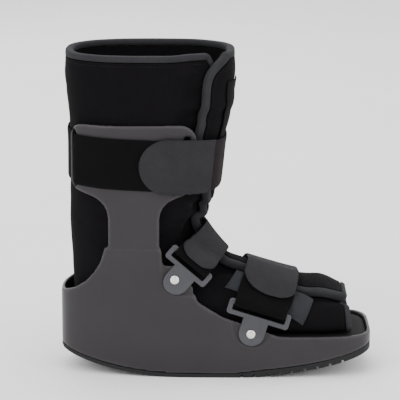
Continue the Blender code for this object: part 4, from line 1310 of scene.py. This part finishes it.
def draw_foot_strap(name, place, first_row, free_end):
    over_loop = STRAP_THICKNESS + 2 * STRAP_EASE + GAP
    grid = []
    for r in range(9):
        share = r / 8
        row = first_row + share
        far = strap_run(place, row, share, 1, 0.0, lambda part: 0.0) + full_turn(place, share, 1)
        near = strap_run(
            place, row, share, -1, 0.0, lambda part: over_loop * smooth_step(part, 0, 0.3), 11
        )
        near += wrap_points(place, share, -1, over_loop, (-60, -20))
        grid.append(list(reversed(far)) + trimmed(near[1:], place, free_end(share)))
    made = soft_sheet(name + "_visual", grid, 41, 220, TAB_THICKNESS, TAB_FINISH, 0.0010)
    finish_piece(made, "grey_strap", name)


def draw_foot_loop(name, place, first_row):
    grid = []
    for r in range(7):
        share = r / 6
        run = strap_run(place, first_row + share, share, -1, 0.4, lambda part: 0.0, 7)
        grid.append(run + full_turn(place, share, -1))
    made = soft_sheet(name + "_visual", grid, 35, 130, STRAP_THICKNESS, PILE_FINISH, 0.0009)
    finish_piece(made, "loop_pile", name)


def draw_patch(name, corners, finish):
    grid = []
    for r in range(13):
        down = r / 12
        points = []
        for c in range(13):
            across = c / 12
            top = [lerp(a, b, across) for a, b in zip(corners[0], corners[1])]
            low = [lerp(a, b, across) for a, b in zip(corners[3], corners[2])]
            place, angle = (lerp(a, b, down) for a, b in zip(top, low))
            angle = -radians(angle)
            point, normal = liner_surface(place, angle, 2 * GAP)
            points.append(point + normal * max(0.0, fold(place, angle, point)))
        grid.append(points)
    made = soft_sheet(name + "_visual", grid, 60, 60, PATCH_THICKNESS, finish, 0.0009)
    finish_piece(made, "hook_patch", name)


# Brackets and rivets


def draw_bracket(name, place, side):
    rear, run, up, length = bracket_frame(place)
    half, radius, reach = ROD_WIDTH / 2, lug_radius(place), rod_reach(place)
    depth = bracket_depth(place)
    lug = Vector(at_bracket(place.lug)) - rear
    share, sink = lug.dot(run), lug.dot(up)
    pivot = Vector(at_bracket(place.pivot))

    def corner(out, rise, rounding):
        point = rear + run * out + up * rise
        return point.x, point.y, rounding

    outline = [corner(max(share - radius, half), -half, 0)]
    for i in range(25):
        angle = pi + pi * i / 24
        outline.append(corner(share + radius * cos(angle), sink + radius * sin(angle), 0))
    outline.append(corner(min(share + radius, length - half), -half, 0))
    outline += [
        corner(length + half, -half, ROD_CORNER_RADIUS),
        corner(length + half, reach + half, ROD_CORNER_RADIUS),
        corner(-half, reach + half, ROD_CORNER_RADIUS),
        corner(-half, -half, ROD_CORNER_RADIUS),
        corner(max(share - radius, half), -half, 0),
    ]
    window = [
        corner(length / 2, half, 0),
        corner(length - half, half, 0.0015),
        corner(length - half, reach - half, 0.0015),
        corner(half, reach - half, 0.0015),
        corner(half, half, 0.0015),
        corner(length / 2, half, 0),
    ]
    hole_radius = RIVET_SHANK_RADIUS + GAP
    hole = [
        (pivot.x + hole_radius * cos(2 * pi * i / 24), pivot.y + hole_radius * sin(2 * pi * i / 24))
        for i in range(24)
    ]
    curve = bpy.data.curves.new(name, "CURVE")
    curve.dimensions = "2D"
    curve.fill_mode = "BOTH"
    bevel = 0.0005
    curve.extrude = BRACKET_THICKNESS / 2 - bevel
    curve.bevel_depth = bevel
    curve.bevel_resolution = 2
    curve.offset = -bevel
    for path in (rounded(outline, 6)[:-1], rounded(window, 5)[:-1], hole):
        spline = curve.splines.new("POLY")
        spline.points.add(len(path) - 1)
        for point, (x, z) in zip(spline.points, path):
            point.co = (x, z, 0, 1)
        spline.use_cyclic_u = True
    guide = bpy.data.objects.new(name + "_guide", curve)
    GROUP.objects.link(guide)
    guide.rotation_euler = (pi / 2, 0, 0)
    guide.location = (0, side * (depth + BRACKET_THICKNESS / 2), 0)
    bpy.context.view_layer.update()
    graph = bpy.context.evaluated_depsgraph_get()
    mesh = bpy.data.meshes.new_from_object(guide.evaluated_get(graph))
    mesh.transform(guide.matrix_world)
    mesh.materials.clear()
    mesh.materials.append(BRACKET_FINISH)
    mesh.shade_smooth()
    mesh.set_sharp_from_angle(angle=radians(40))
    bpy.data.objects.remove(guide, do_unlink=True)
    made = bpy.data.objects.new(name + "_visual", mesh)
    GROUP.objects.link(made)
    finish_piece(made, "bracket_plastic", name)


def draw_rivet(name, place, side):
    """A domed head with a rolled rim on its shank."""
    outer = bracket_depth(place) + BRACKET_THICKNESS + GAP
    x, z = at_bracket(place.pivot)
    inner = shell_half_width(x) - SHELL_WALL - GAP - 0.0009
    head, shank = RIVET_HEAD_RADIUS, RIVET_SHANK_RADIUS
    profile = [(1e-5, RIVET_DOME)]
    profile += [
        (head * sin(pi / 2 * k / 12), RIVET_DOME * (0.22 + 0.78 * cos(pi / 2 * k / 12))) for k in range(1, 13)
    ]
    profile += [(head * 0.985, 0.04 * RIVET_DOME), (head * 0.93, 0.0), (shank, 0.0)]
    profile = [(r, outer + h) for r, h in profile]
    profile += [(shank, inner), (0.76 * head, inner), (0.8 * head, inner - 0.0002)]
    profile += [(0.8 * head, inner - 0.0005), (0.76 * head, inner - 0.0007), (1e-5, inner - 0.0007)]
    sides = 48
    points = [
        (x + r * cos(2 * pi * k / sides), side * h, z + r * sin(2 * pi * k / sides))
        for r, h in profile
        for k in range(sides)
    ]
    faces = [
        (a * sides + k, a * sides + (k + 1) % sides, (a + 1) * sides + (k + 1) % sides, (a + 1) * sides + k)
        for a in range(len(profile) - 1)
        for k in range(sides)
    ]
    faces.append(tuple(range(sides)))
    faces.append(tuple((len(profile) - 1) * sides + k for k in range(sides)))
    made = array_mesh(name + "_visual", points, faces, METAL_FINISH)
    made.data.set_sharp_from_angle(angle=radians(35))
    finish_piece(made, "rivet_metal", name)


# Studio


def studio():
    scene = bpy.context.scene
    target = Vector((-0.015, 0.0, 0.1585))
    elevation = radians(12.8)
    distance = 2.2
    camera = bpy.data.objects.new("camera", bpy.data.cameras.new("camera"))
    GROUP.objects.link(camera)
    towards = Vector((0, -cos(elevation), sin(elevation)))
    camera.location = target + towards * distance
    camera.rotation_mode = "QUATERNION"
    camera.rotation_quaternion = (-towards).to_track_quat("-Z", "Y")
    camera.data.sensor_width = 36.0
    camera.data.lens = 36.0 * 2336.55 / 400
    camera.data.clip_start, camera.data.clip_end = 0.05, 60.0
    scene.camera = camera

    world = bpy.data.worlds.new("studio")
    world.use_nodes = True
    background = world.node_tree.nodes["Background"]
    background.inputs["Color"].default_value = (1.0, 1.0, 1.0, 1.0)
    background.inputs["Strength"].default_value = 1.5
    scene.world = world

    floor, tree, shader = blank("studio floor")
    grain = object_noise(tree, 3.0)
    tree.links.new(
        ramp(tree, grain, 0.3, 0.7, (0.90, 0.90, 0.90, 1.0), (0.93, 0.93, 0.93, 1.0)),
        shader.inputs["Base Color"],
    )
    shader.inputs["Roughness"].default_value = 0.9
    points, faces = [], []
    sweep = [(-6.0, 0.0), (2.5, 0.0)]
    sweep += [(2.5 + 1.5 * sin(pi / 2 * k / 12), 1.5 - 1.5 * cos(pi / 2 * k / 12)) for k in range(1, 13)]
    sweep += [(4.0, 7.0)]
    for y, z in sweep:
        points += [(-8.0, y, z), (8.0, y, z)]
    for k in range(len(sweep) - 1):
        faces.append((2 * k, 2 * k + 1, 2 * k + 3, 2 * k + 2))
    mesh = bpy.data.meshes.new("studio_floor")
    mesh.from_pydata(points, [], faces)
    mesh.materials.append(floor)
    mesh.shade_smooth()
    ground = bpy.data.objects.new("studio_floor", mesh)
    GROUP.objects.link(ground)

    for name, place, size, power in (
        ("key", (-1.4, -1.5, 1.9), 1.4, 26.0),
        ("fill", (1.7, -1.3, 1.1), 1.6, 14.0),
        ("top", (0.1, 0.3, 2.2), 1.2, 14.0),
        ("rim", (-0.6, 1.9, 1.3), 1.2, 12.0),
    ):
        lamp = bpy.data.lights.new(name, "AREA")
        lamp.energy = power
        lamp.size = size
        made = bpy.data.objects.new(name, lamp)
        GROUP.objects.link(made)
        made.location = place
        made.rotation_euler = (target - Vector(place)).to_track_quat("-Z", "Y").to_euler()


def main():
    studio()
    draw_shell()
    draw_bed()
    for slot in frame["nodes"]["outsole"].material_slots:
        slot.material = SOLE_FINISH
    draw_liner()
    draw_binding()
    draw_calf_strap()
    draw_calf_tab()
    draw_foot_loop("instep_loop", REAR_BRACKET, INSTEP_ROW)
    draw_foot_strap("instep_strap", REAR_BRACKET, INSTEP_ROW, instep_end)
    draw_foot_loop("forefoot_loop", FRONT_BRACKET, FOREFOOT_ROW)
    draw_foot_strap("forefoot_strap", FRONT_BRACKET, FOREFOOT_ROW, forefoot_end)
    draw_patch("leg_hook_strip", LEG_STRIP, STRIP_FINISH)
    draw_patch("foot_hook_patch", FOOT_PATCH, PATCH_FINISH)
    for where, place in (("rear", REAR_BRACKET), ("front", FRONT_BRACKET)):
        for side, word in ((-1, "near"), (1, "far")):
            draw_bracket(f"bracket_{where}_{word}", place, side)
            draw_rivet(f"rivet_{where}_{word}", place, side)


main()
